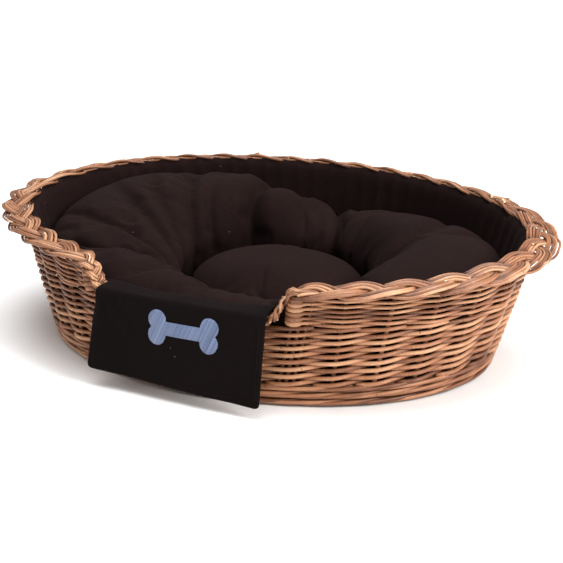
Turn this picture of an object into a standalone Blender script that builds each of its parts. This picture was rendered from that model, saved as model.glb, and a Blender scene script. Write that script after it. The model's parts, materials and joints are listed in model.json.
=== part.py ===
"""Wicker pet bed basket.

An oval willow basket with a low entrance at the front, lined with dark cloth. A cloth flap hangs
outside from the sill of the entrance, and a ring cushion and a centre pad lie loose inside.

Metres. +Z is up, +X runs along the oval, and the entrance faces -Y. The origin is the middle of
the underside, on the floor.
"""

import math

import bmesh
import bpy
from mathutils import Vector

GAP = 0.0003                       # clearance between neighbouring solids

# The wall: an ellipse through the middles of the stakes that widens from the floor to the border
FLOOR_RADII = (0.357, 0.261)
BORDER_RADII = (0.418, 0.274)
WALL_HEIGHT = 0.190

# The plaited border along the top of the wall
RIM_HEIGHT = 0.193                 # middle of the plait, at the middle of the basket's sides
RIM_END_RISE = 0.005               # the two ends of the oval are this much higher
RIM_BACK_RISE = 0.014              # the back is this much higher and the front this much lower
RIM_BACK_LIFT = 0.006              # the back curves up this much more
RIM_BACK_TILT = math.radians(20)   # at the back the plait slopes down outward, at the front it is level
RIM_OUTWARD = 0.012                # the plait sits a little outside the stakes
RIM_HALF_WIDTH = 0.027
PLAIT_HALF_THICKNESS = 0.0095
RIM_STATIONS = 96
RIM_END_TURN = 0.003               # angle between each end of the rim border and the post

# The entrance
POST_TOP_X = 0.170                 # where the rim border starts to turn down
POST_BEND_X = 0.146
POST_FOOT_X = 0.139
POST_OUTWARD = 0.010
POST_HALF_WIDTH = 0.019
END_STAKE_X = 0.160                # the end stakes stand beside the posts, on the side of the wall
END_STAKE_DROP = 0.007             # their tops stop below the turn of the plait
SILL_HALF_LENGTH = 0.1285
SILL_OUTWARD = 0.0035
SILL_HALF_WIDTH = 0.0125

# Stakes and woven rows
STAKE_RADIUS = 0.0035
STAKES_ACROSS_ENTRANCE = 4         # spaces between the two end stakes
STAKES_AROUND = 28                 # spaces from one end stake round the back to the other
FULL_ROWS = 7
TOTAL_ROWS = 10
ROW_THICKNESS = 0.005
FOOT_HEIGHT = 0.0143
FOOT_HALF_THICKNESS = 0.009

# The base
MAT_THICKNESS = 0.009
SLATH_HEIGHT = 0.007
SLATH_WIDTH = 0.008
LONG_STICK_SPACING = 0.060
LONG_STICK_LENGTH = 0.60
CROSS_STICK_SPACING = 0.085
CROSS_STICK_LENGTH = 0.40

# Cloth
CLOTH = 0.0020
FLAP_THICKNESS = 0.0022
FLAP_HINGE_Y = -0.2890
FLAP_BOTTOM_Y = -0.3040            # it stands away from the wall as it goes down
FLAP_TOP_HALF_WIDTH = 0.136
FLAP_HALF_WIDTH = 0.141
FLAP_BOTTOM_Z = 0.022
FLAP_STRAIGHT_DROP = 0.020         # it has its full width this far below the hinge
FLAP_CORNER = 0.006
FLAP_TURN = math.radians(2.4)      # it hangs a little askew: its left bottom corner is the higher one
MOTIF_LENGTH = 0.112
MOTIF_CENTRE = (0.012, 0.107)
MOTIF_THICKNESS = 0.0008
MOTIF_KNOB_RADIUS = 0.014
MOTIF_KNOB_SPREAD = 0.80           # the knobs' middles, in knob radii from the bar's middle line
MOTIF_BAR_HALF_HEIGHT = 0.010
MOTIF_NOTCH = 0.72                 # how far round each knob runs towards the notch between the two
MOTIF_NOTCH_DEPTH = 0.10           # the notch goes this much further in, in knob radii

# Cushions
CUSHION_FLOOR = 0.0168
BOLSTER_WALL_GAP = 0.0130          # from the middle of the stakes to the ring cushion
HOLE_X = 0.018                     # the ring's hole and the pad sit a little to the right
BOLSTER_HOLE = (0.158, 0.138)
BOLSTER_TOP = 0.182
BOLSTER_FRONT_DROP = 0.046         # the front is pressed down at the entrance
BOLSTER_LEFT_RISE = 0.012          # the left is puffed up higher than the right
BOLSTER_ROUNDNESS = 0.8            # 1 makes its section an ellipse, less makes it squarer
BOLSTER_STATIONS = 40
COVER_THICKNESS = 0.0015
FILLING_INSET = 0.0020
PAD_RADII = (0.1435, 0.1235)
PAD_TOP = 0.122
PAD_STATIONS = 36
CLOSING_SLIT = (0.160, 0.004)      # length and width of the slit in the pad cover's underside

WILLOW_ROW = ("willow_weave", (0.56, 0.31, 0.15), 0.55)
WILLOW_BORDER = ("willow_border", (0.66, 0.40, 0.20), 0.50)
WILLOW_STICK = ("willow_stick", (0.48, 0.27, 0.13), 0.60)
BROWN_CLOTH = ("cloth", (0.030, 0.018, 0.017), 0.90)
BLUE_THREAD = ("embroidery", (0.20, 0.27, 0.52), 0.55)
FIBRE = ("filling", (0.85, 0.84, 0.80), 0.95)


# ---------------------------------------------------------------- materials and objects

def material(look):
    """The Principled material of one look, made once."""
    name, colour, roughness = look
    found = bpy.data.materials.get(name)
    if found:
        return found
    made = bpy.data.materials.new(name)
    made.use_nodes = True
    shader = made.node_tree.nodes["Principled BSDF"]
    shader.inputs["Base Color"].default_value = (*colour, 1.0)
    shader.inputs["Roughness"].default_value = roughness
    shader.inputs["Metallic"].default_value = 0.0
    made.diffuse_color = (*colour, 1.0)
    return made


def place(name, bm, look, origin=(0, 0, 0), parent=None):
    """Turn a bmesh in world coordinates into a named object with its origin at origin."""
    bmesh.ops.recalc_face_normals(bm, faces=bm.faces)
    mesh = bpy.data.meshes.new(name)
    bmesh.ops.translate(bm, verts=bm.verts, vec=-Vector(origin))
    bm.to_mesh(mesh)
    bm.free()
    mesh.shade_smooth()
    mesh.set_sharp_from_angle(angle=math.radians(40))
    mesh.materials.append(material(look))
    made = bpy.data.objects.new(name, mesh)
    bpy.context.collection.objects.link(made)
    if parent:
        made.parent = parent
        made.location = Vector(origin) - parent.location
    else:
        made.location = origin
    return made


def empty(name, location):
    """An empty on a joint's axis, for the moving pieces to hang from."""
    made = bpy.data.objects.new(name, None)
    made.empty_display_size = 0.05
    made.location = location
    bpy.context.collection.objects.link(made)
    return made


def skin(loops, closed):
    """Join a row of equal loops of points into one closed body."""
    bm = bmesh.new()
    rows = [[bm.verts.new(point) for point in loop] for loop in loops]
    count = len(rows[0])
    spans = len(rows) if closed else len(rows) - 1
    for i in range(spans):
        near = rows[i]
        far = rows[(i + 1) % len(rows)]
        for j in range(count):
            k = (j + 1) % count
            bm.faces.new((near[j], near[k], far[k], far[j]))
    if not closed:
        bm.faces.new(rows[0][::-1])
        bm.faces.new(rows[-1])
    return bm


def prism(outline, low, high):
    """A closed body between two heights, with the same outline at both."""
    return skin([[Vector((x, y, z)) for x, y in outline] for z in (low, high)], closed=False)


def cut(target, cutter, operation="DIFFERENCE"):
    """Put a Boolean on target and turn cutter into a hidden guide."""
    boolean = target.modifiers.new(operation.title(), "BOOLEAN")
    boolean.operation = operation
    boolean.solver = "EXACT"
    boolean.object = cutter
    cutter.hide_render = True
    cutter.display_type = "WIRE"


# ---------------------------------------------------------------- the oval and its places

def wall(angle, z, outward=0.0):
    """A point at one angle of the oval and one height, outward from the middle of the wall."""
    rise = z / WALL_HEIGHT
    a = FLOOR_RADII[0] + (BORDER_RADII[0] - FLOOR_RADII[0]) * rise
    b = FLOOR_RADII[1] + (BORDER_RADII[1] - FLOOR_RADII[1]) * rise
    normal = Vector((math.cos(angle) / a, math.sin(angle) / b, 0)).normalized()
    return Vector((a * math.cos(angle), b * math.sin(angle), z)) + normal * outward


def normal_at(angle, z):
    """The level direction straight out of the wall."""
    return (wall(angle, z, 1.0) - wall(angle, z)).normalized()


def front_angle(x, z, outward=0.0):
    """The angle at which the front of the oval passes x."""
    low, high = -math.pi, 0.0
    for _ in range(40):
        middle = (low + high) / 2
        if wall(middle, z, outward).x < x:
            low = middle
        else:
            high = middle
    return (low + high) / 2


def rim_z(angle):
    """Height of the middle of the rim border."""
    back = max(0.0, math.sin(angle))
    return (RIM_HEIGHT + RIM_END_RISE * math.cos(angle) ** 2 + RIM_BACK_RISE * math.sin(angle)
            + RIM_BACK_LIFT * back ** 2)


def row_z(angle, fraction):
    """Height of a woven row: 0 on top of the foot, 1 under the rim border."""
    low = FOOT_HEIGHT + GAP
    high = rim_z(angle) - PLAIT_HALF_THICKNESS - GAP
    return low + (high - low) * fraction


MIDDLE_Z = WALL_HEIGHT / 2
ENTRANCE_SIDE = front_angle(POST_TOP_X, RIM_HEIGHT)
SILL_UNDERSIDE = row_z(ENTRANCE_SIDE, FULL_ROWS / TOTAL_ROWS)
SILL_Z = SILL_UNDERSIDE + GAP + PLAIT_HALF_THICKNESS
SILL_COVER_Z = SILL_Z + PLAIT_HALF_THICKNESS + GAP
HINGE_Z = SILL_COVER_Z + CLOTH / 2
POST_TOP_Z = rim_z(front_angle(POST_TOP_X, RIM_HEIGHT, RIM_OUTWARD))
POST_FOOT_Z = SILL_UNDERSIDE + 2 * GAP


def even_angles(start, end, spaces):
    """Angles that divide the oval from start to end into equal lengths, ends included."""
    fine = 400
    angles = [start + (end - start) * i / fine for i in range(fine + 1)]
    points = [wall(angle, MIDDLE_Z) for angle in angles]
    travelled = [0.0]
    for i in range(fine):
        travelled.append(travelled[-1] + (points[i + 1] - points[i]).length)
    result = []
    place_on = 0
    for k in range(spaces + 1):
        wanted = travelled[-1] * k / spaces
        while place_on < fine - 1 and travelled[place_on + 1] < wanted:
            place_on += 1
        step = travelled[place_on + 1] - travelled[place_on]
        share = (wanted - travelled[place_on]) / step
        result.append(angles[place_on] + (angles[place_on + 1] - angles[place_on]) * share)
    return result


def stake_angles():
    """One angle a stake: first across the entrance, then on round the back."""
    left = front_angle(-END_STAKE_X, MIDDLE_Z)
    right = front_angle(END_STAKE_X, MIDDLE_Z)
    across = even_angles(left, right, STAKES_ACROSS_ENTRANCE)
    around = even_angles(right, left + 2 * math.pi, STAKES_AROUND)
    return across[:-1] + around[:-1]


def post_curve(share):
    """Distance from the middle and height of a post's middle line, from the rim to the sill."""
    first = (1 - share) ** 2
    second = 2 * share * (1 - share)
    third = share ** 2
    x = first * POST_TOP_X + second * POST_BEND_X + third * POST_FOOT_X
    z = first * POST_TOP_Z + second * POST_TOP_Z + third * POST_FOOT_Z
    return x, z


def clear_of_post(z_top):
    """Distance from the middle at which a row with its top at z_top is clear of the post."""
    reach = PLAIT_HALF_THICKNESS + 4 * GAP
    line = [post_curve(i / 40) for i in range(41)]
    x = POST_FOOT_X
    while any(math.hypot(px - x, pz - min(z_top, pz)) < reach for px, pz in line if px <= x + reach):
        x += 0.0005
    return x


# ---------------------------------------------------------------- wicker

def oval_section(middle, across, along_height, half_width, half_height, sides=8):
    """A loop of points round an elliptical section of a plait."""
    loop = []
    for i in range(sides):
        turn = 2 * math.pi * (i + 0.5) / sides
        loop.append(middle + across * (half_width * math.cos(turn))
                    + along_height * (half_height * math.sin(turn)))
    return loop


def make_base():
    """The woven oval mat, and the slath of sticks that lie on it."""
    outline = [wall(2 * math.pi * i / 64, 0, -FOOT_HALF_THICKNESS - 2 * GAP).xy for i in range(64)]
    place("base_weave", prism(outline, 0.0, MAT_THICKNESS), WILLOW_ROW)

    def stick(name, x, y, length, along_x):
        half = (length / 2, SLATH_WIDTH / 2) if along_x else (SLATH_WIDTH / 2, length / 2)
        corners = [(x + sx * half[0], y + sy * half[1]) for sx, sy in ((-1, -1), (1, -1), (1, 1), (-1, 1))]
        low = MAT_THICKNESS + GAP
        return place(name, prism(corners, low, low + SLATH_HEIGHT), WILLOW_STICK)

    slath = stick("base_slath", 0, 0, LONG_STICK_LENGTH, True)
    for side in (-1, 1):
        guide = stick(f"long_stick_guide_{side + 1}", 0, side * LONG_STICK_SPACING, LONG_STICK_LENGTH, True)
        cut(slath, guide, "UNION")
    for i in range(-2, 3):
        guide = stick(f"cross_stick_guide_{i + 2}", i * CROSS_STICK_SPACING, 0, CROSS_STICK_LENGTH, False)
        cut(slath, guide, "UNION")


def make_foot():
    """The twisted rods that make the bottom edge: a low ring with slanting shoulders."""
    loops = []
    for i in range(64):
        angle = 2 * math.pi * i / 64
        loop = []
        for outward, z in ((-1, 0.0), (0.7, 0.0), (1, 0.3), (1, 0.75), (0.6, 1.0), (-1, 1.0)):
            loop.append(wall(angle, z * FOOT_HEIGHT, outward * FOOT_HALF_THICKNESS))
        loops.append(loop)
    place("foot_wale", skin(loops, closed=True), WILLOW_ROW)


def make_stakes(angles):
    """Upright rods. Those across the entrance end under the sill."""
    for number, angle in enumerate(angles):
        top = row_z(angle, 1.0) - GAP
        if number in (0, STAKES_ACROSS_ENTRANCE):
            top -= END_STAKE_DROP
        elif number < STAKES_ACROSS_ENTRANCE:
            top = SILL_UNDERSIDE - GAP
        loops = []
        for z in (FOOT_HEIGHT + GAP, top):
            middle = wall(angle, z)
            loop = []
            for i in range(6):
                turn = 2 * math.pi * i / 6
                loop.append(middle + Vector((math.cos(turn), math.sin(turn), 0)) * STAKE_RADIUS)
            loops.append(loop)
        place(f"side_stake_{number + 1:02d}", skin(loops, closed=False), WILLOW_STICK)


def row_section(angle, row, outward):
    """Four corners of a woven row's section."""
    low = row_z(angle, row / TOTAL_ROWS) + GAP / 2
    high = row_z(angle, (row + 1) / TOTAL_ROWS) - GAP / 2
    half = ROW_THICKNESS / 2
    return [wall(angle, z, outward + side * half) for z, side in ((low, -1), (low, 1), (high, 1), (high, -1))]


def make_rows(angles):
    """Rows that pass in front of one stake and behind the next."""
    swing = STAKE_RADIUS + ROW_THICKNESS / 2 + 1.7 * GAP
    for row in range(TOTAL_ROWS):
        full = row < FULL_ROWS
        loops = []
        if full:
            for number, angle in enumerate(angles):
                side = 1 if (number + row) % 2 else -1
                loops.append(row_section(angle, row, side * swing))
        else:
            end_x = clear_of_post(row_z(ENTRANCE_SIDE, (row + 1) / TOTAL_ROWS))
            middle_z = row_z(ENTRANCE_SIDE, (row + 0.5) / TOTAL_ROWS)
            first_side = 1 if (STAKES_ACROSS_ENTRANCE + row) % 2 else -1
            last_side = 1 if (len(angles) + row) % 2 else -1
            loops.append(row_section(front_angle(end_x, middle_z), row, first_side * swing))
            for number in range(STAKES_ACROSS_ENTRANCE, len(angles) + 1):
                side = 1 if (number + row) % 2 else -1
                angle = angles[number] if number < len(angles) else angles[0] + 2 * math.pi
                loops.append(row_section(angle, row, side * swing))
            loops.append(row_section(front_angle(-end_x, middle_z) + 2 * math.pi, row, last_side * swing))
        place(f"wall_row_{row + 1:02d}", skin(loops, closed=full), WILLOW_ROW)


def make_rim():
    """The plait along the top of the wall, open at the entrance."""
    start = front_angle(POST_TOP_X, POST_TOP_Z, POST_OUTWARD) + RIM_END_TURN
    end = front_angle(-POST_TOP_X, POST_TOP_Z, POST_OUTWARD) + 2 * math.pi - RIM_END_TURN
    loops = []
    for i in range(RIM_STATIONS + 1):
        angle = start + (end - start) * i / RIM_STATIONS
        z = rim_z(angle)
        outward = normal_at(angle, z)
        up = Vector((0, 0, 1))
        tilt = RIM_BACK_TILT * (1 + math.sin(angle)) / 2
        across = outward * math.cos(tilt) - up * math.sin(tilt)
        above = up * math.cos(tilt) + outward * math.sin(tilt)
        middle = wall(angle, z, RIM_OUTWARD)
        loops.append(oval_section(middle, across, above, RIM_HALF_WIDTH, PLAIT_HALF_THICKNESS))
    place("rim_border", skin(loops, closed=False), WILLOW_BORDER)


def make_posts():
    """The plait turned down at each side of the entrance."""
    steps = 10

    def middle_at(side, share):
        x, z = post_curve(share)
        angle = front_angle(side * x, z, POST_OUTWARD)
        return angle, wall(angle, z, POST_OUTWARD)

    for name, side in (("left_post", -1), ("right_post", 1)):
        loops = []
        for i in range(steps + 1):
            angle, middle = middle_at(side, i / steps)
            before = middle_at(side, i / steps - 0.01)[1]
            after = middle_at(side, i / steps + 0.01)[1]
            across = normal_at(angle, middle.z)
            up = (after - before).cross(across).normalized()
            loops.append(oval_section(middle, across, up, POST_HALF_WIDTH, PLAIT_HALF_THICKNESS))
        place(name, skin(loops, closed=False), WILLOW_BORDER)


def make_sill():
    """The plait along the low front edge."""
    steps = 16
    loops = []
    for i in range(steps + 1):
        angle = front_angle(SILL_HALF_LENGTH * (2 * i / steps - 1), SILL_Z, SILL_OUTWARD)
        middle = wall(angle, SILL_Z, SILL_OUTWARD)
        across = normal_at(angle, SILL_Z)
        loops.append(oval_section(middle, across, Vector((0, 0, 1)), SILL_HALF_WIDTH, PLAIT_HALF_THICKNESS))
    place("sill_border", skin(loops, closed=False), WILLOW_BORDER)


# ---------------------------------------------------------------- cloth

LINER_OUTWARD = -(STAKE_RADIUS + ROW_THICKNESS + 2.7 * GAP)
LINER_LEVEL_X = 0.155              # the liner's edge is level this far each way across the entrance


def liner_top(angle):
    """Top edge of the liner: under the rim border, and lower across the entrance."""
    high = row_z(angle, 1.0)
    x = abs(wall(angle, MIDDLE_Z).x)
    if math.sin(angle) > 0 or x >= POST_TOP_X:
        return high
    across = max(0.0, (x - LINER_LEVEL_X) / (POST_TOP_X - LINER_LEVEL_X))
    return SILL_COVER_Z - GAP + (high - SILL_COVER_Z) * across


def make_liner():
    """The cloth on the inside of the wall, from the base to the rim border."""
    loops = []
    for i in range(80):
        angle = 2 * math.pi * i / 80
        loop = []
        for z, outward in ((CUSHION_FLOOR, 0), (CUSHION_FLOOR, -CLOTH),
                           (liner_top(angle), -CLOTH), (liner_top(angle), 0)):
            loop.append(wall(angle, z, LINER_OUTWARD + outward))
        loops.append(loop)
    place("liner", skin(loops, closed=True), BROWN_CLOTH)


def make_sill_cover():
    """The liner's cloth on top of the sill, with a straight front edge where the flap starts."""
    steps = 12
    half = SILL_HALF_LENGTH - 2 * GAP
    back = []
    for i in range(steps + 1):
        x = half * (2 * i / steps - 1)
        back.append(wall(front_angle(x, SILL_COVER_Z, LINER_OUTWARD), SILL_COVER_Z, LINER_OUTWARD - CLOTH).xy)
    front_y = FLAP_HINGE_Y + FLAP_THICKNESS / 2 + 3 * GAP
    outline = [(-half, front_y), (half, front_y)] + [tuple(point) for point in back[::-1]]
    place("sill_cover", prism(outline, SILL_COVER_Z, SILL_COVER_Z + CLOTH), BROWN_CLOTH)


def flap_y(z):
    """Where the middle of the flap's cloth is at one height."""
    share = (HINGE_Z - z) / (HINGE_Z - FLAP_BOTTOM_Z)
    return FLAP_HINGE_Y + (FLAP_BOTTOM_Y - FLAP_HINGE_Y) * share


def flap_plate(outline, back, front):
    """A closed plate parallel to the flap, from an outline in X and Z and two distances forward."""
    return skin([[Vector((x, flap_y(z) - forward, z)) for x, z in outline] for forward in (back, front)],
                closed=False)


def askew(x, z):
    """A point of the flap's outline, turned a little about the middle of the hinge."""
    drop = HINGE_Z - z
    return (x * math.cos(FLAP_TURN) - drop * math.sin(FLAP_TURN),
            HINGE_Z - drop * math.cos(FLAP_TURN) - x * math.sin(FLAP_TURN))


def bone_outline():
    """A plain bone shape: two round knobs at each end of a bar."""
    knob_x = MOTIF_LENGTH / 2 - MOTIF_KNOB_RADIUS
    knob_z = MOTIF_KNOB_RADIUS * MOTIF_KNOB_SPREAD
    steps = 8
    quarter = []
    start = math.pi + math.asin((knob_z - MOTIF_BAR_HALF_HEIGHT) / MOTIF_KNOB_RADIUS)
    end = -math.asin(MOTIF_NOTCH)
    for i in range(steps + 1):
        turn = start + (end - start) * i / steps
        x = knob_x + MOTIF_KNOB_RADIUS * math.cos(turn)
        z = knob_z + MOTIF_KNOB_RADIUS * math.sin(turn)
        quarter.append((x, z))
    notch = (quarter[-1][0] - MOTIF_KNOB_RADIUS * MOTIF_NOTCH_DEPTH, 0.0)
    right = quarter + [notch] + [(x, -z) for x, z in quarter[::-1]]
    return right + [(-x, -z) for x, z in right]


def make_flap():
    """The hanging flap and the motif on it, on an empty on the hinge line."""
    hinge = empty("flap_hinge", (0, FLAP_HINGE_Y, HINGE_Z))
    half = FLAP_THICKNESS / 2
    right_side = [(FLAP_HALF_WIDTH - FLAP_CORNER, FLAP_BOTTOM_Z),
                  (FLAP_HALF_WIDTH, FLAP_BOTTOM_Z + FLAP_CORNER),
                  (FLAP_HALF_WIDTH, HINGE_Z - FLAP_STRAIGHT_DROP),
                  (FLAP_TOP_HALF_WIDTH, HINGE_Z + half)]
    outline = right_side + [(-x, z) for x, z in right_side[::-1]]
    outline = [askew(x, z) if z < HINGE_Z - FLAP_STRAIGHT_DROP else (x, z) for x, z in outline]
    place("front_flap", flap_plate(outline, -half, half), BROWN_CLOTH, hinge.location, hinge)
    motif = [(x + MOTIF_CENTRE[0], z + MOTIF_CENTRE[1]) for x, z in bone_outline()]
    bottom = half + GAP
    bone = flap_plate(motif, bottom, bottom + MOTIF_THICKNESS)
    place("flap_motif", bone, BLUE_THREAD, hinge.location, hinge)


# ---------------------------------------------------------------- cushions

def bolster_section(angle, inset, sides=10):
    """Points round the ring cushion's section, the lowest ones first and last."""
    top = (BOLSTER_TOP - BOLSTER_FRONT_DROP * max(0.0, -math.sin(angle)) ** 2
           - BOLSTER_LEFT_RISE * math.cos(angle))
    middle_z = (top + CUSHION_FLOOR) / 2
    outer = wall(angle, middle_z, -BOLSTER_WALL_GAP)
    inner = Vector((HOLE_X + BOLSTER_HOLE[0] * math.cos(angle), BOLSTER_HOLE[1] * math.sin(angle), middle_z))
    middle = (outer + inner) / 2
    half = (outer - inner) / 2
    across = half.normalized()
    half_width = half.length - inset
    half_height = (top - CUSHION_FLOOR) / 2 - inset
    points = []
    highest = math.sin(math.pi / 2 * (1 - 1 / sides))
    for i in range(sides):
        turn = -math.pi / 2 + 2 * math.pi * (i + 0.5) / sides
        c = math.copysign(abs(math.cos(turn)) ** BOLSTER_ROUNDNESS, math.cos(turn))
        s = math.copysign(abs(math.sin(turn)) ** BOLSTER_ROUNDNESS, math.sin(turn)) / highest
        z = half_height * max(-1.0, min(1.0, s))
        lean = wall(angle, middle_z + z) - wall(angle, middle_z)
        lean.z = 0
        points.append(middle + across * (half_width * c) + lean * (1 + c) / 2 + Vector((0, 0, z)))
    return points


def make_bolster():
    """The ring cushion: a cover, open along a slit underneath, round its filling."""
    lift = empty("bolster_lift", (0, 0, CUSHION_FLOOR))
    covers = []
    fillings = []
    for i in range(BOLSTER_STATIONS):
        angle = 2 * math.pi * i / BOLSTER_STATIONS
        outside = bolster_section(angle, 0.0)
        inside = bolster_section(angle, COVER_THICKNESS)
        covers.append(outside + inside[::-1])
        fillings.append(bolster_section(angle, COVER_THICKNESS + FILLING_INSET))
    place("bolster_cover", skin(covers, closed=True), BROWN_CLOTH, lift.location, lift)
    place("bolster_filling", skin(fillings, closed=True), FIBRE, lift.location, lift)


def pad_body(inset):
    """The centre pad: flat underneath, with a rounded edge and a domed top."""
    # shares of the radii and of the height, from the bottom edge up to the crown
    profile = ((0.80, 0.0), (0.96, 0.16), (1.0, 0.42), (0.94, 0.68), (0.72, 0.88), (0.36, 0.98))
    height = PAD_TOP - CUSHION_FLOOR - 2 * inset
    low = CUSHION_FLOOR + inset
    bm = bmesh.new()
    rows = []
    for share, rise in profile:
        row = []
        for i in range(PAD_STATIONS):
            turn = 2 * math.pi * i / PAD_STATIONS
            x = HOLE_X + (PAD_RADII[0] * share - inset) * math.cos(turn)
            y = (PAD_RADII[1] * share - inset) * math.sin(turn)
            row.append(bm.verts.new((x, y, low + rise * height)))
        rows.append(row)
    for near, far in zip(rows, rows[1:]):
        for i in range(PAD_STATIONS):
            k = (i + 1) % PAD_STATIONS
            bm.faces.new((near[i], near[k], far[k], far[i]))
    bm.faces.new(rows[0][::-1])
    crown = bm.verts.new((HOLE_X, 0, low + height))
    for i in range(PAD_STATIONS):
        bm.faces.new((rows[-1][i], rows[-1][(i + 1) % PAD_STATIONS], crown))
    return bm


def make_pad():
    """The centre pad: a cover, open along a slit underneath, round its filling."""
    lift = empty("pad_lift", (0, 0, CUSHION_FLOOR))
    cover = place("pad_cover", pad_body(0.0), BROWN_CLOTH, lift.location, lift)
    cut(cover, place("pad_hollow_guide", pad_body(COVER_THICKNESS), FIBRE, lift.location, lift))
    left = HOLE_X - CLOSING_SLIT[0] / 2
    right = HOLE_X + CLOSING_SLIT[0] / 2
    half_y = CLOSING_SLIT[1] / 2
    corners = [(left, -half_y), (right, -half_y), (right, half_y), (left, half_y)]
    beyond = 0.002
    slit = prism(corners, CUSHION_FLOOR - beyond, CUSHION_FLOOR + COVER_THICKNESS + beyond)
    cut(cover, place("pad_slit_guide", slit, FIBRE, lift.location, lift))
    place("pad_filling", pad_body(COVER_THICKNESS + FILLING_INSET), FIBRE, lift.location, lift)


# ---------------------------------------------------------------- build

for old in list(bpy.data.objects):
    bpy.data.objects.remove(old, do_unlink=True)

ANGLES = stake_angles()
make_base()
make_foot()
make_stakes(ANGLES)
make_rows(ANGLES)
make_rim()
make_posts()
make_sill()
make_liner()
make_sill_cover()
make_flap()
make_bolster()
make_pad()
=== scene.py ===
"""The looks of the wicker pet bed basket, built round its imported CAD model.

Willow rods are woven one by one round the stakes. The cloth and the cushions are shaped in mesh
code and by cloth simulation. Metres, in the frame of the CAD model.
"""

import json
import math

import bmesh
import bpy
import numpy as np
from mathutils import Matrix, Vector


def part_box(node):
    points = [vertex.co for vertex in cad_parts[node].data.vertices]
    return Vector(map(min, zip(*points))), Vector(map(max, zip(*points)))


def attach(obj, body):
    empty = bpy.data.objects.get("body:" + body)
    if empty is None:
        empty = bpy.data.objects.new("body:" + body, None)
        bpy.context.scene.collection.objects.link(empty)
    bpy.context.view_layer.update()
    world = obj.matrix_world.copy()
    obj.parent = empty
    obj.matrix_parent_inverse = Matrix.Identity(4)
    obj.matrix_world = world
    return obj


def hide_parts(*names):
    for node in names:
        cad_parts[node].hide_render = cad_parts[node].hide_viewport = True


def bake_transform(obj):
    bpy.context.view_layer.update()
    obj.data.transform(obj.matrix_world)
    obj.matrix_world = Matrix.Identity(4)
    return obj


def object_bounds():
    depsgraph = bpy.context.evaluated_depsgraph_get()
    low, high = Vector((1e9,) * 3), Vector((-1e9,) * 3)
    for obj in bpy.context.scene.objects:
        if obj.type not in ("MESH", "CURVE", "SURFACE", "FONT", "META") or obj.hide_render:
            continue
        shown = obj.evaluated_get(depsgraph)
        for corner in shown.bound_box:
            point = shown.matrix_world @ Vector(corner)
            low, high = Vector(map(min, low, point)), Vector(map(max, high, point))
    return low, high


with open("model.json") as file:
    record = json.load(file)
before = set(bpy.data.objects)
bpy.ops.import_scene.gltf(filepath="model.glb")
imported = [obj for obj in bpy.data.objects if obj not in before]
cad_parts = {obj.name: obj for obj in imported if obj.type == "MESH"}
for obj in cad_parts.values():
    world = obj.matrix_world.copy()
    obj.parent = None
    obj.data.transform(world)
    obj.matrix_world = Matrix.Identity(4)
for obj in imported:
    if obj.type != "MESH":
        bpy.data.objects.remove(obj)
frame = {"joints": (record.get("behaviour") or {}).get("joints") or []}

CAD_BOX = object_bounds()
TURN = 2 * math.pi
RANDOM = np.random.default_rng(7)


# ---------------------------------------------------------------- what the frame says

def corners(node):
    """The lowest and highest corner of a CAD node as arrays."""
    low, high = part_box(node)
    return np.array(low), np.array(high)


JOINTS = {joint["name"]: joint for joint in frame["joints"]}
HINGE = np.array(JOINTS["flap_hinge"]["pos_m"])
STAKES = [f"side_stake_{number + 1:02d}" for number in range(32)]
ACROSS = 4                            # spaces between stakes across the entrance
FLOOR_INSET = 0.0096                  # the base mat stops this far inside the middle of the wall
RIM_OUTWARD = 0.012                   # the border's middle is this far outside the stakes
RIM_REACH = (0.0250, 0.0253)          # and its solid reaches this much further out, at an end and at the back
RIM_TOP = 0.0119                      # the solid's top above its middle at the back
RIM_TILT = math.radians(20)           # at the back the plait slopes down outward, at the front it is level
STAKE_RADIUS = 0.0035

FLOOR = corners("base_weave")[1][:2] + FLOOR_INSET
RIM_BOX = corners("rim_border")
RIM_END_Z = 0.198                     # height of the border's middle at the ends of the oval
RIM_SPREAD = (RIM_BOX[1][0] - RIM_OUTWARD - RIM_REACH[0] - FLOOR[0]) / RIM_END_Z
RIM_BACK_Z = RIM_BOX[1][2] - RIM_TOP
SIDE_SPREAD = (RIM_BOX[1][1] - RIM_OUTWARD - RIM_REACH[1] - FLOOR[1]) / RIM_BACK_Z
RIM_SIDE_Z = 0.193
RIM_BACK_RISE = 0.7 * (RIM_BACK_Z - RIM_SIDE_Z)   # the slope of the whole border up to the back
RIM_BACK_LIFT = 0.3 * (RIM_BACK_Z - RIM_SIDE_Z)   # and what the back half curves up further
RIM_END_RISE = RIM_END_Z - RIM_SIDE_Z
SILL_BOX = corners("sill_border")
SILL_Z = (SILL_BOX[0][2] + SILL_BOX[1][2]) / 2
SILL_HALF_LENGTH = SILL_BOX[1][0]
SILL_UNDERSIDE = SILL_BOX[0][2]
LINER_BOX = corners("liner")
CUSHION_FLOOR = LINER_BOX[0][2]


def unit(vectors):
    """Rows of vectors at length one."""
    vectors = np.asarray(vectors, float)
    return vectors / np.maximum(np.linalg.norm(vectors, axis=-1, keepdims=True), 1e-12)


def smooth_step(value, low, high):
    """0 below low, 1 above high and smooth in between."""
    share = np.clip((np.asarray(value, float) - low) / (high - low), 0, 1)
    return share * share * (3 - 2 * share)


def lengths(points):
    """The distance along a line of points from its first point to each."""
    return np.concatenate([[0], np.cumsum(np.linalg.norm(np.diff(points, axis=0), axis=1))])


def at_lengths(place, length, points):
    """The points at given distances along a line."""
    return np.stack([np.interp(place, length, points[:, k]) for k in range(3)], axis=-1)


def half_axes(z):
    """Half the length and half the depth of the oval of the stakes at a height."""
    return FLOOR[0] + RIM_SPREAD * z, FLOOR[1] + SIDE_SPREAD * z


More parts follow.
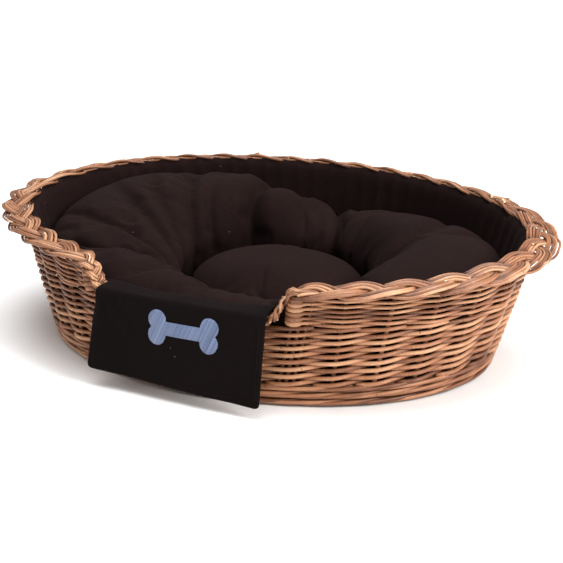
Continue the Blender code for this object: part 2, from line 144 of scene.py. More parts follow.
def wall(angle, z, outward=0.0):
    """Points of the wall: an ellipse that widens with height, outward from the stakes' middles."""
    angle, z, outward = np.broadcast_arrays(*(np.asarray(x, float) for x in (angle, z, outward)))
    a, b = half_axes(z)
    normal = unit(np.stack([np.cos(angle) / a, np.sin(angle) / b], axis=-1))
    x = a * np.cos(angle) + normal[..., 0] * outward
    y = b * np.sin(angle) + normal[..., 1] * outward
    return np.stack([x, y, z], axis=-1)


def wall_normal(angle, z):
    """The level direction straight out of the wall."""
    return wall(angle, z, 1.0) - wall(angle, z)


def front_angle(x, z, outward=0.0):
    """The angle at which the front of the oval passes x."""
    low, high = -math.pi, 0.0
    for _ in range(40):
        half_way = (low + high) / 2
        if wall(half_way, z, outward)[0] < x:
            low = half_way
        else:
            high = half_way
    return (low + high) / 2


def rim_z(angle):
    """Height of the middle of the rim border."""
    back = np.maximum(0.0, np.sin(angle))
    ends = RIM_END_RISE * np.cos(angle) ** 2
    return RIM_SIDE_Z + ends + RIM_BACK_RISE * np.sin(angle) + RIM_BACK_LIFT * back ** 2


def rim_tilt(angle):
    """How far the plait slopes down outward."""
    return RIM_TILT * (1 + np.sin(angle)) / 2


def stake_angle_table():
    """The angle of each stake, rising, with the first one repeated a turn on."""
    angles = []
    for name in STAKES:
        low, high = corners(name)
        x, y, z = (low + high) / 2
        a, b = half_axes(z)
        angle = math.atan2(y / b, x / a)
        while angles and angle < angles[-1]:
            angle += TURN
        angles.append(angle)
    return np.array(angles + [angles[0] + TURN])


STAKE_ANGLES = stake_angle_table()
COUNT = len(STAKES)


def angle_at(place):
    """The angle at a place counted in stakes, which may run on past the last one."""
    place = np.asarray(place, float)
    whole = np.floor(place / COUNT)
    return np.interp(place - whole * COUNT, np.arange(COUNT + 1), STAKE_ANGLES) + whole * TURN


# ---------------------------------------------------------------- meshes

def add_object(name, data):
    """A new object in the scene."""
    made = bpy.data.objects.new(name, data)
    bpy.context.collection.objects.link(made)
    return made


def mesh_object(name, points, quads, material, fields=None):
    """A mesh object made from arrays of points and four-cornered faces, with named values a point."""
    mesh = bpy.data.meshes.new(name)
    points = np.asarray(points, np.float32)
    quads = np.asarray(quads, np.int32)
    mesh.vertices.add(len(points))
    mesh.vertices.foreach_set("co", points.ravel())
    mesh.loops.add(quads.size)
    mesh.loops.foreach_set("vertex_index", quads.ravel())
    mesh.polygons.add(len(quads))
    mesh.polygons.foreach_set("loop_start", np.arange(0, quads.size, 4, dtype=np.int32))
    mesh.update(calc_edges=True)
    for key, values in (fields or {}).items():
        layer = mesh.attributes.new(key, "FLOAT", "POINT")
        layer.data.foreach_set("value", np.asarray(values, np.float32))
    mesh.materials.append(material)
    mesh.polygons.foreach_set("use_smooth", [True] * len(mesh.polygons))
    mesh.validate()
    return add_object(name, mesh)


CUT_FACE = 0.82                       # the flat of a rod's end against its thickness
CUT_REACH = 0.12                      # and how far it stands out, in radii


def ends_doubled(values):
    """A row of values with its first and its last one twice."""
    return np.concatenate([values[:1], values, values[-1:]])


class Rods:
    """Many willow rods gathered into one mesh."""

    def __init__(self, sides=8):
        self.sides = sides
        self.points = []
        self.faces = []
        self.fields = {"tone": [], "along": [], "cut": []}
        self.total = 0

    def add(self, path, radius, up, tone, cut_ends=True, slant=0.0, shade=0.0):
        """One rod along a path, with its radius at each point and a direction that isn't along it.

        Slant is the length of a long slanting cut at its far end, which faces up. Shade is painted
        shade, added to its tone, and may be different at each point.
        """
        path = np.asarray(path, float)
        count = len(path)
        radius = np.broadcast_to(np.asarray(radius, float), (count,)).copy()
        tangent = unit(np.gradient(path, axis=0))
        across = unit(np.cross(tangent, np.broadcast_to(up, path.shape)))
        height = np.cross(across, tangent)
        first_face = path[0] - tangent[0] * radius[0] * CUT_REACH
        last_face = path[-1] + tangent[-1] * radius[-1] * CUT_REACH
        middles = np.vstack([first_face, path, last_face])
        sizes = np.concatenate([[radius[0] * CUT_FACE], radius, [radius[-1] * CUT_FACE]])
        shade = np.broadcast_to(np.asarray(shade, float), (count,))
        across, height, along, shade = map(ends_doubled, (across, height, lengths(path), shade))
        turn = TURN * (np.arange(self.sides) + 0.5) / self.sides
        left = along[-1] - along
        limit = np.where(left < slant, -0.75 + 1.75 * left / max(slant, 1e-9), 1.0)
        rise = np.minimum(np.sin(turn)[None, :], limit[:, None])
        ring = across[:, None] * np.cos(turn)[None, :, None] + height[:, None] * rise[:, :, None]
        points = middles[:, None] + ring * sizes[:, None, None]
        rings = count + 2
        n = self.sides
        index = np.arange(rings * n).reshape(rings, n) + self.total
        turned = np.roll(index, -1, axis=1)
        sides = np.stack([index[:-1], turned[:-1], turned[1:], index[1:]], axis=-1).reshape(-1, 4)
        caps = []
        for k in range(n // 2 - 1):
            caps.append([index[0, k + 1], index[0, k], index[0, n - 1 - k], index[0, n - 2 - k]])
            caps.append([index[-1, k], index[-1, k + 1], index[-1, n - 2 - k], index[-1, n - 1 - k]])
        self.points.append(points.reshape(-1, 3))
        self.faces.append(sides)
        self.faces.append(np.array(caps))
        # the tone field also carries the painted shade
        self.fields["tone"].append(np.repeat(tone + shade, n))
        self.fields["along"].append(np.repeat(along + tone * 7, n))
        cut = np.zeros((rings, n))
        cut[[0, -1]] = 1.0 if cut_ends else 0.0
        cut = np.where(np.sin(turn)[None, :] > limit[:, None] + 1e-6, 1.0, cut)
        self.fields["cut"].append(cut.ravel())
        self.total += rings * n

    def mesh(self, name, material):
        """All the rods as one mesh object."""
        fields = {key: np.concatenate(values) for key, values in self.fields.items()}
        return mesh_object(name, np.concatenate(self.points), np.concatenate(self.faces), material, fields)

    def make(self, name, material, slot, replaced):
        """The finished piece, on the basket and in place of its CAD nodes."""
        made = self.mesh(name, material)
        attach(made, "basket")
        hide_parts(*replaced)


def wander(count, step, size, seed):
    """A smooth random line: count values, with a new random value every step of them."""
    draw = np.random.default_rng(seed)
    knots = draw.uniform(-size, size, count // step + 3)
    where = np.arange(count) / step
    low = np.floor(where).astype(int)
    share = smooth_step(where - low, 0, 1)
    return knots[low] * (1 - share) + knots[low + 1] * share


# ---------------------------------------------------------------- materials

class Nodes:
    """A short way to write a material's nodes."""

    def __init__(self, name, roughness, sheen=0.0, specular=0.5):
        self.material = bpy.data.materials.new(name)
        self.material.use_nodes = True
        self.tree = self.material.node_tree
        self.shader = self.tree.nodes["Principled BSDF"]
        self.shader.inputs["Roughness"].default_value = roughness
        self.shader.inputs["Specular IOR Level"].default_value = specular
        self.shader.inputs["Sheen Weight"].default_value = sheen

    def add(self, kind, **settings):
        """A node with its settings and its unlinked inputs' values."""
        node = self.tree.nodes.new(kind)
        for key, value in settings.items():
            if hasattr(node, key):
                setattr(node, key, value)
            else:
                node.inputs[key.replace("_", " ")].default_value = value
        return node

    def link(self, source, target):
        """Join an output to an input."""
        self.tree.links.new(source, target)

    def feed(self, sockets, values):
        """Link sockets, or set them to numbers or colours."""
        for socket, value in zip(sockets, values):
            if isinstance(value, bpy.types.NodeSocket):
                self.link(value, socket)
            elif isinstance(value, tuple):
                socket.default_value = (*value, 1.0)
            else:
                socket.default_value = value

    def place(self):
        """Where a point is on the object."""
        return self.add("ShaderNodeTexCoord").outputs["Object"]

    def field(self, name):
        """A value stored on the mesh's points."""
        return self.add("ShaderNodeAttribute", attribute_name=name).outputs["Fac"]

    def math(self, operation, first, second=0.5):
        """A sum on one or two values, which may be sockets or numbers."""
        node = self.tree.nodes.new("ShaderNodeMath")
        node.operation = operation
        self.feed(node.inputs[:2], (first, second))
        return node.outputs[0]

    def total(self, *terms):
        """The sum of values, each given with its weight."""
        parts = [self.math("MULTIPLY", value, weight) for value, weight in terms]
        result = parts[0]
        for part in parts[1:]:
            result = self.math("ADD", result, part)
        return result

    def mix(self, share, first, second):
        """One colour mixed with another by a share."""
        node = self.tree.nodes.new("ShaderNodeMix")
        node.data_type = "RGBA"
        self.feed((node.inputs[0], node.inputs[6], node.inputs[7]), (share, first, second))
        return node.outputs[2]

    def ramp(self, value, stops):
        """A colour ramp with (place, colour) stops."""
        node = self.tree.nodes.new("ShaderNodeValToRGB")
        for place, colour in stops[1:-1]:
            node.color_ramp.elements.new(place)
        for element, (place, colour) in zip(node.color_ramp.elements, stops):
            element.position = place
            element.color = (*colour, 1.0)
        self.link(value, node.inputs["Fac"])
        return node.outputs["Color"]

    def noise(self, vector, scale, detail=2.0, roughness=0.5):
        """The value of a noise texture at a place."""
        node = self.add("ShaderNodeTexNoise", Scale=scale, Detail=detail, Roughness=roughness)
        self.link(vector, node.inputs["Vector"])
        return node.outputs["Fac"]

    def specks(self, place, scale, size):
        """1 in small scattered spots and 0 between them."""
        node = self.add("ShaderNodeTexVoronoi", Scale=scale, feature="F1")
        self.link(place, node.inputs["Vector"])
        return self.math("LESS_THAN", node.outputs["Distance"], size)

    def bump(self, height, distance, strength):
        """Surface relief from a height."""
        node = self.add("ShaderNodeBump", Strength=strength, Distance=distance)
        self.link(height, node.inputs["Height"])
        self.link(node.outputs["Normal"], self.shader.inputs["Normal"])


def willow(name, dark, mid, light, roughness):
    """Peeled and boiled willow: each rod has its own tone, with streaks, scars and pale cut ends."""
    nodes = Nodes(name, roughness)
    # the tone field also holds painted shade, where rods go behind stakes or dip under the plait
    tone = nodes.field("tone")
    along = nodes.field("along")
    place = nodes.place()
    blotch = nodes.noise(place, 38.0, 3.0)
    line = nodes.add("ShaderNodeCombineXYZ")
    nodes.link(nodes.math("MULTIPLY", along, 26.0), line.inputs["X"])
    nodes.link(nodes.math("MULTIPLY", tone, 91.0), line.inputs["Y"])
    drift = nodes.noise(line.outputs["Vector"], 1.0, 3.0, 0.6)
    fine = nodes.noise(place, 420.0, 2.0)
    value = nodes.total((tone, 0.70), (drift, 0.55), (blotch, 0.22), (fine, 0.16))
    value = nodes.math("SUBTRACT", value, 0.32)
    colour = nodes.ramp(value, ((0.05, dark), (0.50, mid), (0.92, light)))
    scar = nodes.math("MULTIPLY", nodes.specks(place, 55.0, 0.10), 0.55)
    colour = nodes.mix(scar, colour, tuple(0.45 * x for x in dark))
    colour = nodes.mix(nodes.field("cut"), colour, (0.80, 0.62, 0.42))
    nodes.link(colour, nodes.shader.inputs["Base Color"])
    gloss = nodes.math("ADD", nodes.math("MULTIPLY", drift, 0.22), roughness - 0.11)
    nodes.link(gloss, nodes.shader.inputs["Roughness"])
    nodes.bump(nodes.total((blotch, 0.6), (fine, 0.5)), 0.0006, 0.55)
    return nodes.material


WEAVE = willow("willow_weave", (0.100, 0.029, 0.010), (0.360, 0.148, 0.068), (0.640, 0.350, 0.190), 0.42)
BORDER = willow("willow_border", (0.100, 0.032, 0.012), (0.330, 0.138, 0.065), (0.620, 0.345, 0.190), 0.38)
STICK = willow("willow_stick", (0.080, 0.026, 0.010), (0.230, 0.092, 0.042), (0.400, 0.205, 0.110), 0.50)


# ---------------------------------------------------------------- the woven wall

WALE_LOW = 0.0031                     # height where the three-rod wale starts
WALE_ROUND = 0.0112                   # height of one round of it
WALE_MIDDLE = 0.0027                  # the middle of a round above its start
WALE_CLIMB = 0.0036                   # how far its rods go up and down from there
WALE_SHIFT = 0.37                     # each round starts this share of a stake's space further on
WALE_RADIUS = (0.0031, 0.0026)        # at a rod's thick end and at its tip
WALE_PIECES = 3                       # rods laid end to end in each strand of a round
RANDING_LOW = 0.0352                  # the slanting rods start above the wale
RANDING_LEVELS = 16
RANDING_RADIUS = (0.00315, 0.00262)   # at a rod's thick end and at its tip
RANDING_PIECES = 4                    # the slanting rods are shared out over this many meshes
UPPER_ROWS = 13
UPPER_RADIUS = 0.0022
UPPER_LENGTH = 17                     # a rod of the upper rows goes past this many stakes
BELOW_PLAIT = 0.0085                  # the weave ends this far below the plait's middle
STEPS = 10                            # points a rod has from one stake to the next
PAINTED_SHADE = -0.45                        # painted shade: rods are darker where they go behind a stake, and where the plait's rods dip under


def zigzag(place):
    """1 at even places and -1 at odd ones, straight in between, with rounded turns."""
    return (np.cos(math.pi * place) + np.cos(3 * math.pi * place) / 11) / (1 + 1 / 11)


def behind(swing):
    """How much painted shade darkens a rod where it goes behind a stake."""
    return PAINTED_SHADE * smooth_step(-swing, -0.004, 0.003)


def weave_top(angle):
    """Top of the weave: close under the plait, also where the plait tilts."""
    return rim_z(angle) - BELOW_PLAIT + RIM_OUTWARD * np.sin(rim_tilt(angle))


def randing_z(angle, level):
    """Height of a level of the slanting rods: the pitch shrinks a little with height."""
    share = level / RANDING_LEVELS
    share = share * (1.09 - 0.09 * share)
    entrance_z = SILL_UNDERSIDE - 0.0030
    return RANDING_LOW + (entrance_z - RANDING_LOW) * share


def make_wale():
    """Rounds of three rods each that twist round one another, passing two stakes and going behind one."""
    groups = [("foot_wale_rods", ["foot_wale"], (0, 1)), ("upper_wale_rods", ["wall_row_01"], (2,))]
    smooth = np.array([0.25, 0.5, 0.25])
    for name, replaced, rounds in groups:
        rods = Rods()
        for wale_round in rounds:
            for strand in range(3):
                place = np.arange(0, COUNT + 0.6, 1 / STEPS) + strand + wale_round * WALE_SHIFT
                # how far out and how high a rod is at places in its pattern, which is three stakes long
                phase = (place - strand) % 3
                swing = np.interp(phase, [0, 0.35, 1, 1.6, 2.1, 2.55, 3], [-0.4, 0.55, 1, 1, 0.35, -1, -0.4])
                climb = np.interp(phase, [0, 2.1, 2.6, 3], [-1, 1, 0.2, -1])
                swing = np.convolve(np.pad(swing, 1, "edge"), smooth, "valid")
                climb = np.convolve(np.pad(climb, 1, "edge"), smooth, "valid")
                low = WALE_LOW + wale_round * WALE_ROUND
                z = low + WALE_MIDDLE + climb * WALE_CLIMB * (1 if wale_round else 0.7)
                angle = angle_at(place)
                seed = 100 + wale_round * 10 + strand
                z = z + np.abs(wander(len(z), 14, 0.0008, seed))
                outward = swing * (STAKE_RADIUS + 0.0026) + 0.0006
                edges = np.linspace(0, len(place) - 1, WALE_PIECES + 1).astype(int)
                path = wall(angle, z, outward)
                for begin, end in zip(edges, edges[1:]):
                    taper = np.linspace(*WALE_RADIUS, end - begin + 1)
                    rods.add(path[begin:end + 1], taper, (0, 0, 1), RANDOM.uniform())
        rods.make(name, WEAVE, "willow_weave", replaced)


def make_randing():
    """One slanting rod from each stake, rising one level from each stake to the next."""
    place = np.arange(-0.42, RANDING_LEVELS + 0.45, 1 / STEPS)
    share = (place - place[0]) / (place[-1] - place[0])
    radius = RANDING_RADIUS[0] + (RANDING_RADIUS[1] - RANDING_RADIUS[0]) * share
    rows = [f"wall_row_{row:02d}" for row in range(2, 8)]
    for group in range(RANDING_PIECES):
        rods = Rods()
        for start in range(group, COUNT, RANDING_PIECES):
            angle = angle_at(start + place)
            level = place + wander(len(place), 10, 0.10, 200 + start)
            z = randing_z(angle, np.clip(level, -0.5, RANDING_LEVELS + 0.2))
            swing = zigzag(place) * (STAKE_RADIUS + radius + 0.0002)
            swing = swing + wander(len(place), 17, 0.0004, 300 + start)
            # painted shade where a rod goes behind a stake
            rods.add(wall(angle, z, swing), radius, (0, 0, 1), RANDOM.uniform(), shade=behind(swing))
        rods.make(f"slanting_rods_{group + 1}", WEAVE, "willow_weave", rows)


END_X = 0.1625                        # the weavers turn back round the end stakes about here
END_LOOP = 0.0075                     # how far the turn of a rod goes past its row's last point
END_SWELL = 1.15                      # they are this much thicker where they pass in front of them
END_BULGE = 0.0030                    # and bulge out this much


def make_upper_weave():
    """The rows beside the entrance: rods that turn back round the end stakes at both sides."""
    right = front_angle(END_X, 0.15)
    left = front_angle(-END_X, 0.15) + TURN
    first = np.interp(right, STAKE_ANGLES, np.arange(COUNT + 1))
    last = np.interp(left, STAKE_ANGLES, np.arange(COUNT + 1))
    rows = []
    for row in range(UPPER_ROWS):
        share = (row + 0.5) / UPPER_ROWS
        place = np.arange(first, last, 1 / STEPS)
        angle = angle_at(place)
        low = SILL_UNDERSIDE + 0.0002
        high = weave_top(angle)
        z = low + (high - low) * share + wander(len(place), 12, 0.0005, 400 + row)
        side = 1 if row % 2 else -1
        swing = side * zigzag(place) * (STAKE_RADIUS + UPPER_RADIUS)
        at_end = 1 - smooth_step(np.minimum(place - first, last - place), 0.06, 0.21)
        if side < 0:
            at_end = -0.25 * at_end
        # the third part is painted shade where a rod goes behind a stake
        parts = (wall(angle, z, swing + END_BULGE * at_end), at_end, behind(swing))
        rows.append([values[::-1] for values in parts] if row % 2 else parts)
    line, sizes, darker = ([values] for values in rows[0])
    for path, at_end, dark in rows[1:]:
        before = line[-1][-1]
        after = path[0]
        travel = unit(line[-1][-1] - line[-1][-3])
        turn = np.linspace(0, math.pi, 9)[1:-1]
        centre = (before + after) / 2
        half = (before - after) / 2
        loop = centre + np.cos(turn)[:, None] * half + np.sin(turn)[:, None] * travel * END_LOOP
        line += [loop, path]
        sizes += [np.full(len(loop), 0.60), at_end]
        darker += [np.zeros(len(loop)), dark]
    path = np.concatenate(line)
    thicker = 1 + END_SWELL * np.concatenate(sizes)
    # painted shade where the rods go behind the stakes, none on the turns round the end stakes
    shade = np.concatenate(darker)
    length = UPPER_LENGTH * STEPS
    starts = list(range(0, len(path) - length // 2, length))
    groups = {1: Rods(), 2: Rods(), 3: Rods()}
    for k, start in enumerate(starts):
        end = len(path) if k == len(starts) - 1 else start + length + 1
        part = path[start:end]
        radius = np.linspace(UPPER_RADIUS * 1.12, UPPER_RADIUS * 0.95, len(part)) * thicker[start:end]
        share = start / len(path)
        rods = groups[min(3, 1 + int(share * 3))]
        rods.add(part, radius, (0, 0, 1), RANDOM.uniform(), shade=shade[start:end])
    for key, rods in groups.items():
        rods.make(f"returning_rods_{key}", WEAVE, "willow_weave", [f"wall_row_{7 + key:02d}"])


OVAL_RADIUS = 0.40                    # turns a short way along the wall into an angle
# the three thin rods in place of an end stake: how far along the wall from it, and radius
END_STAKE_RODS = ((-0.009, 0.0026), (0.002, 0.0030), (0.0135, 0.0026))
END_STAKE_LEAN = (-0.010, 0.018)      # how far along the wall their feet are, and their tops from there


def make_stakes():
    """The upright rods, with three thin ones in place of the last stake at each side of the entrance."""
    for number, node in enumerate(STAKES):
        low, high = corners(node)
        angle = STAKE_ANGLES[number]
        rods = Rods(10)
        z = np.linspace(low[2] - 0.006, high[2] + 0.004, 14)
        bend = wander(len(z), 6, 0.0004, 500 + number)
        places = [(0.0, STAKE_RADIUS * 0.94)]
        lean = 0.0
        outer = {0: -1, ACROSS: 1}.get(number, 0)
        if outer:
            places = END_STAKE_RODS
            lean = END_STAKE_LEAN[1] * (z - low[2]) / (high[2] - low[2]) + END_STAKE_LEAN[0]
        for shift, radius in places:
            path = wall(angle + (shift + lean) * outer / OVAL_RADIUS, z, bend)
            rods.add(path, np.linspace(radius, radius * 0.9, len(z)), (1, 0, 0.01), RANDOM.uniform())
        rods.make(f"stake_rod_{number + 1:02d}", STICK, "willow_stick", [node])


make_wale()
make_randing()
make_upper_weave()
make_stakes()


# ---------------------------------------------------------------- the plaited border

POST_TOP_X = 0.170                    # where the rim turns down into the posts
POST_BEND_X = 0.158
POST_FOOT_X = 0.140
POST_OUTWARD = 0.010
SILL_OUTWARD = 0.0035
LINE_STEP = 0.002                     # distance between the points of the plait's middle line
# half of the plait's swing to the sides, its height, its pitch, and the spacing and radius of its rods
RIM_PLAIT = (0.0150, 0.0036, 0.195, 0.0046, 0.00215)
POST_PLAIT = (0.0094, 0.0032, 0.050, 0.0034, 0.0018)
SILL_PLAIT = (0.0068, 0.0050, 0.078, 0.0036, 0.0021)
PLAIT_SQUARE = 0.10                   # how far the strands run along the edges before they cross over
POSTS_PAINTED_LIGHT = 0.22                     # painted light: the rods of the posts and the sill are painted paler, for the light on the posts
STRAND_RODS = 5
STRAND_CROWN = 0.0009                 # a strand's middle rods stand this much higher than its outer ones
BREAK_SHIFT = 5                       # rods end up to this many points from where the zones meet
ROD_LENGTHS = (0.27, 0.44)            # of the rim's rods
LONGEST_ROD = 0.50
TUCK_LENGTH = 0.016                   # over this length a rod's end rises out of the plait or sinks into it
TUCK_DEPTH = 0.0030
SHOWN_ENDS = 0.35                     # the share of the rim's rod ends that show
EDGE_RODS = ((-0.0215, -0.0016), (-0.0180, -0.0030))   # their places across the plait and above its middle


def border_line():
    """Points of the closed middle line with their zones: 0 is the rim, 1 a post and 2 the sill."""
    start = front_angle(POST_TOP_X, RIM_END_Z, RIM_OUTWARD)
    end = front_angle(-POST_TOP_X, RIM_END_Z, RIM_OUTWARD) + TURN
    angle = np.linspace(start, end, 600)
    rim = wall(angle, rim_z(angle), RIM_OUTWARD)
    top = rim_z(start)
    foot = SILL_Z
    share = np.linspace(0, 1, 40)
    x = (1 - share) ** 2 * POST_TOP_X + 2 * share * (1 - share) * POST_BEND_X + share ** 2 * POST_FOOT_X
    z = (1 - share ** 2) * top + share ** 2 * foot
    left = np.array([wall(front_angle(-a, b, POST_OUTWARD), b, POST_OUTWARD) for a, b in zip(x, z)])
    right = np.array([wall(front_angle(a, b, POST_OUTWARD), b, POST_OUTWARD) for a, b in zip(x, z)])
    along = np.linspace(-SILL_HALF_LENGTH, SILL_HALF_LENGTH, 80)
    sill = np.array([wall(front_angle(a, SILL_Z, SILL_OUTWARD), SILL_Z, SILL_OUTWARD) for a in along])
    points = np.vstack([rim[:-1], left, sill[2:-2], right[::-1][:-1]])
    zone = np.concatenate([np.zeros(len(rim) - 1), np.ones(len(left)), np.full(len(sill) - 4, 2.0),
                           np.ones(len(right) - 1)])
    ring = np.vstack([points, points[:1]])
    length = lengths(ring)
    count = int(length[-1] / LINE_STEP)
    place = np.linspace(0, length[-1], count, endpoint=False)
    even = at_lengths(place, length, ring)
    zone = np.interp(place, length, np.append(zone, 0.0))
    return soften(even, 5), soften(zone[:, None], 5)[:, 0], length[-1]


def soften(values, width):
    """A closed row of values, smoothed over a number of neighbours each way."""
    reach = np.arange(-3 * width, 3 * width + 1)
    weight = np.exp(-0.5 * (reach / width) ** 2)
    weight /= weight.sum()
    result = np.zeros_like(values)
    for shift, share in zip(reach, weight):
        result += np.roll(values, shift, axis=0) * share
    return result


def make_border():
    """Three strands of five rods each, plaited round the rim, the posts and the sill."""
    line, zone, length = border_line()
    count = len(line)
    step = length / count
    plan = np.array([RIM_PLAIT, POST_PLAIT, SILL_PLAIT])
    sizes = np.stack([np.interp(zone, [0, 1, 2], plan[:, k]) for k in range(5)], axis=-1)
    phase = np.cumsum(TURN / sizes[:, 2]) * step
    turns = round(phase[-1] / TURN)
    phase = phase * turns * TURN / phase[-1]
    tangent = unit(np.roll(line, -1, axis=0) - np.roll(line, 1, axis=0))
    long_axis, side_axis = half_axes(RIM_END_Z)
    angle = np.arctan2(line[:, 1] / side_axis, line[:, 0] / long_axis)
    outward = wall_normal(angle, line[:, 2])
    outward = unit(outward - tangent * np.sum(outward * tangent, axis=1, keepdims=True))
    above = unit(np.cross(outward, tangent))
    above = above * np.sign(above[0, 2])
    tilt = (rim_tilt(angle) * np.clip(1 - zone, 0, 1))[:, None]
    outward, above = (outward * np.cos(tilt) - above * np.sin(tilt),
                      above * np.cos(tilt) + outward * np.sin(tilt))

    def at(place, values):
        """Values at a place on the closed line, counted in its points."""
        place = np.mod(place, count)
        low = np.floor(place).astype(int) % count
        share = (place - np.floor(place)).reshape(-1, *([1] * (values.ndim - 1)))
        return values[low] * (1 - share) + values[(low + 1) % count] * share

    names = ("rim_plait", "left_post_plait", "sill_plait", "right_post_plait")
    parts = {name: Rods() for name in names}

    def part_of(place):
        """The name of the piece that a place on the line belongs to."""
        here = zone[int(place) % count]
        if here < 0.5:
            return "rim_plait"
        if here > 1.5:
            return "sill_plait"
        return "left_post_plait" if line[int(place) % count][0] < 0 else "right_post_plait"

    rim_ends, sill_ends = ([k for k in range(count) if (zone[k] - limit) * (zone[k - 1] - limit) < 0]
                           for limit in (0.5, 1.5))
    for strand in range(3):
        for slot in range(STRAND_RODS):
            seed = 600 + strand * STRAND_RODS + slot
            draw = np.random.default_rng(seed)
            side_noise = wander(count, 22, 0.0011, seed + 50)
            rise_noise = wander(count, 16, 0.0006, seed + 90)
            breaks = [k + draw.integers(-BREAK_SHIFT, BREAK_SHIFT + 1) for k in sill_ends]
            if (strand + slot) % 2:
                breaks += [k + draw.integers(-BREAK_SHIFT, BREAK_SHIFT + 1) for k in rim_ends]
            breaks = sorted(breaks)
            breaks.append(breaks[0] + count)
            edges = [breaks[0]]
            for goal in breaks[1:]:
                while goal - edges[-1] > LONGEST_ROD / step:
                    edges.append(edges[-1] + int(draw.uniform(*ROD_LENGTHS) / step))
                edges.append(goal)
            for begin, end in zip(edges, edges[1:]):
                name = part_of((begin + end) / 2)
                in_rim = name == "rim_plait"
                place = np.arange(begin, end + 4, 2.6 if in_rim else 2.0)
                size = at(place, sizes)
                swing, lift, pitch, spacing, radius = (size[:, k] for k in range(5))
                turn = at(place % (count - 1), phase) + TURN * strand / 3
                slope = swing * (np.cos(turn) + PLAIT_SQUARE * 3 * np.cos(3 * turn))
                slope = slope / (1 - PLAIT_SQUARE) * TURN / pitch
                norm = np.sqrt(1 + slope ** 2)
                closer = np.interp(at(place, zone), [0, 1], [1.0, 0.62])
                slot_shift = (slot - (STRAND_RODS - 1) / 2) * closer
                offset = slot_shift * spacing
                shifted = place - slope / norm * offset / step
                lateral = swing * (np.sin(turn) + PLAIT_SQUARE * np.sin(3 * turn)) / (1 - PLAIT_SQUARE)
                lateral = lateral + offset / norm + np.interp(place % count, np.arange(count), side_noise)
                crown = STRAND_CROWN * (1 - (slot_shift / 2) ** 2)
                height = crown - lift * np.sin(2 * turn)
                height = height + np.interp(place % count, np.arange(count), rise_noise)
                edge = np.minimum(place - place[0], place[-1] - place) * step
                tuck = np.clip(1 - edge / TUCK_LENGTH, 0, 1) ** 2
                shown = draw.uniform() < SHOWN_ENDS and in_rim
                height = height + tuck * (TUCK_DEPTH if shown else -TUCK_DEPTH)
                base = at(shifted, line)
                path = base + at(shifted, outward) * lateral[:, None] + at(shifted, above) * height[:, None]
                taper = np.linspace(1.12, 0.88, len(place)) * draw.uniform(0.9, 1.1)
                # painted light: the rods of the posts and the sill get a paler tone
                tone = draw.uniform() + (0.0 if in_rim else POSTS_PAINTED_LIGHT)
                # painted shade on a strand's rods where they dip under the other strands
                under = PAINTED_SHADE * smooth_step(np.sin(2 * turn), -0.3, 0.9)
                slant = draw.uniform(0.010, 0.018) if shown else 0.0
                parts[name].add(path, radius * taper, at(shifted, above), tone, slant=slant, shade=under)
    back = np.flatnonzero((np.sin(angle) > 0.30) & (zone < 0.5))
    for number, (across, height) in enumerate(EDGE_RODS):
        middle = line[back] + outward[back] * across + above[back] * height
        for piece in np.array_split(np.arange(len(back)), 3 + number):
            taper = np.linspace(0.0025, 0.0020, len(piece))
            parts["rim_plait"].add(middle[piece], taper, above[back][piece], 0.35 + 0.2 * number)
    nodes = {"rim_plait": ["rim_border"], "left_post_plait": ["left_post"],
             "right_post_plait": ["right_post"], "sill_plait": ["sill_border"]}
    for name, rods in parts.items():
        rods.make(name, BORDER, "willow_border", nodes[name])


make_border()


# ---------------------------------------------------------------- the base

MAT_RINGS = 38
MAT_INSET = 0.0028                    # from the edge of the base's solid to the middle of the last ring
MAT_WAVE = 0.0018                     # the rings go over and under by this much
STICK_ROWS = 0.060                    # distance between the pairs of long sticks
STICK_COLUMNS = 0.085                 # and between the cross sticks
TWIN = 0.0042                         # half the distance between the two sticks of a pair


def make_base():
    """The oval mat of the base, woven over flat ribs, and the sticks of the slath on it."""
    low, high = corners("base_weave")
    spine = high[0] - high[1]
    rods = Rods(6)
    angle = np.linspace(0, TURN, 129)
    for ring in range(MAT_RINGS):
        share = (ring + 0.6) / MAT_RINGS
        x = (spine + (high[0] - spine - MAT_INSET) * share) * np.cos(angle)
        y = (high[1] - MAT_INSET) * share * np.sin(angle)
        side = 1 if ring % 2 else -1
        z = (low[2] + high[2]) / 2 + side * MAT_WAVE * np.cos(16 * angle)
        path = np.stack([x, y, z], axis=-1)
        rods.add(path, 0.0026, (0, 0, 1), RANDOM.uniform(), cut_ends=False)
    rods.make("base_mat_rods", WEAVE, "willow_weave", ["base_weave"])
    low, high = corners("base_slath")
    z = (low[2] + high[2]) / 2
    sticks = Rods(8)
    for side in (-1, 0, 1):
        for twin in (-TWIN, TWIN):
            x = np.linspace(low[0], high[0], 30)
            y = side * STICK_ROWS + twin + wander(30, 8, 0.0008, 700 + side)
            sticks.add(np.stack([x, y, np.full(30, z)], axis=-1), 0.0034, (0, 0, 1), RANDOM.uniform())
    for k in range(-2, 3):
        y = np.linspace(low[1], high[1], 24)
        x = k * STICK_COLUMNS + wander(24, 8, 0.0008, 710 + k)
        sticks.add(np.stack([x, y, np.full(24, z + 0.0003)], axis=-1), 0.0036, (0, 0, 1), RANDOM.uniform())
    sticks.make("slath_sticks", STICK, "willow_stick", ["base_slath"])


make_base()


# ---------------------------------------------------------------- cloth

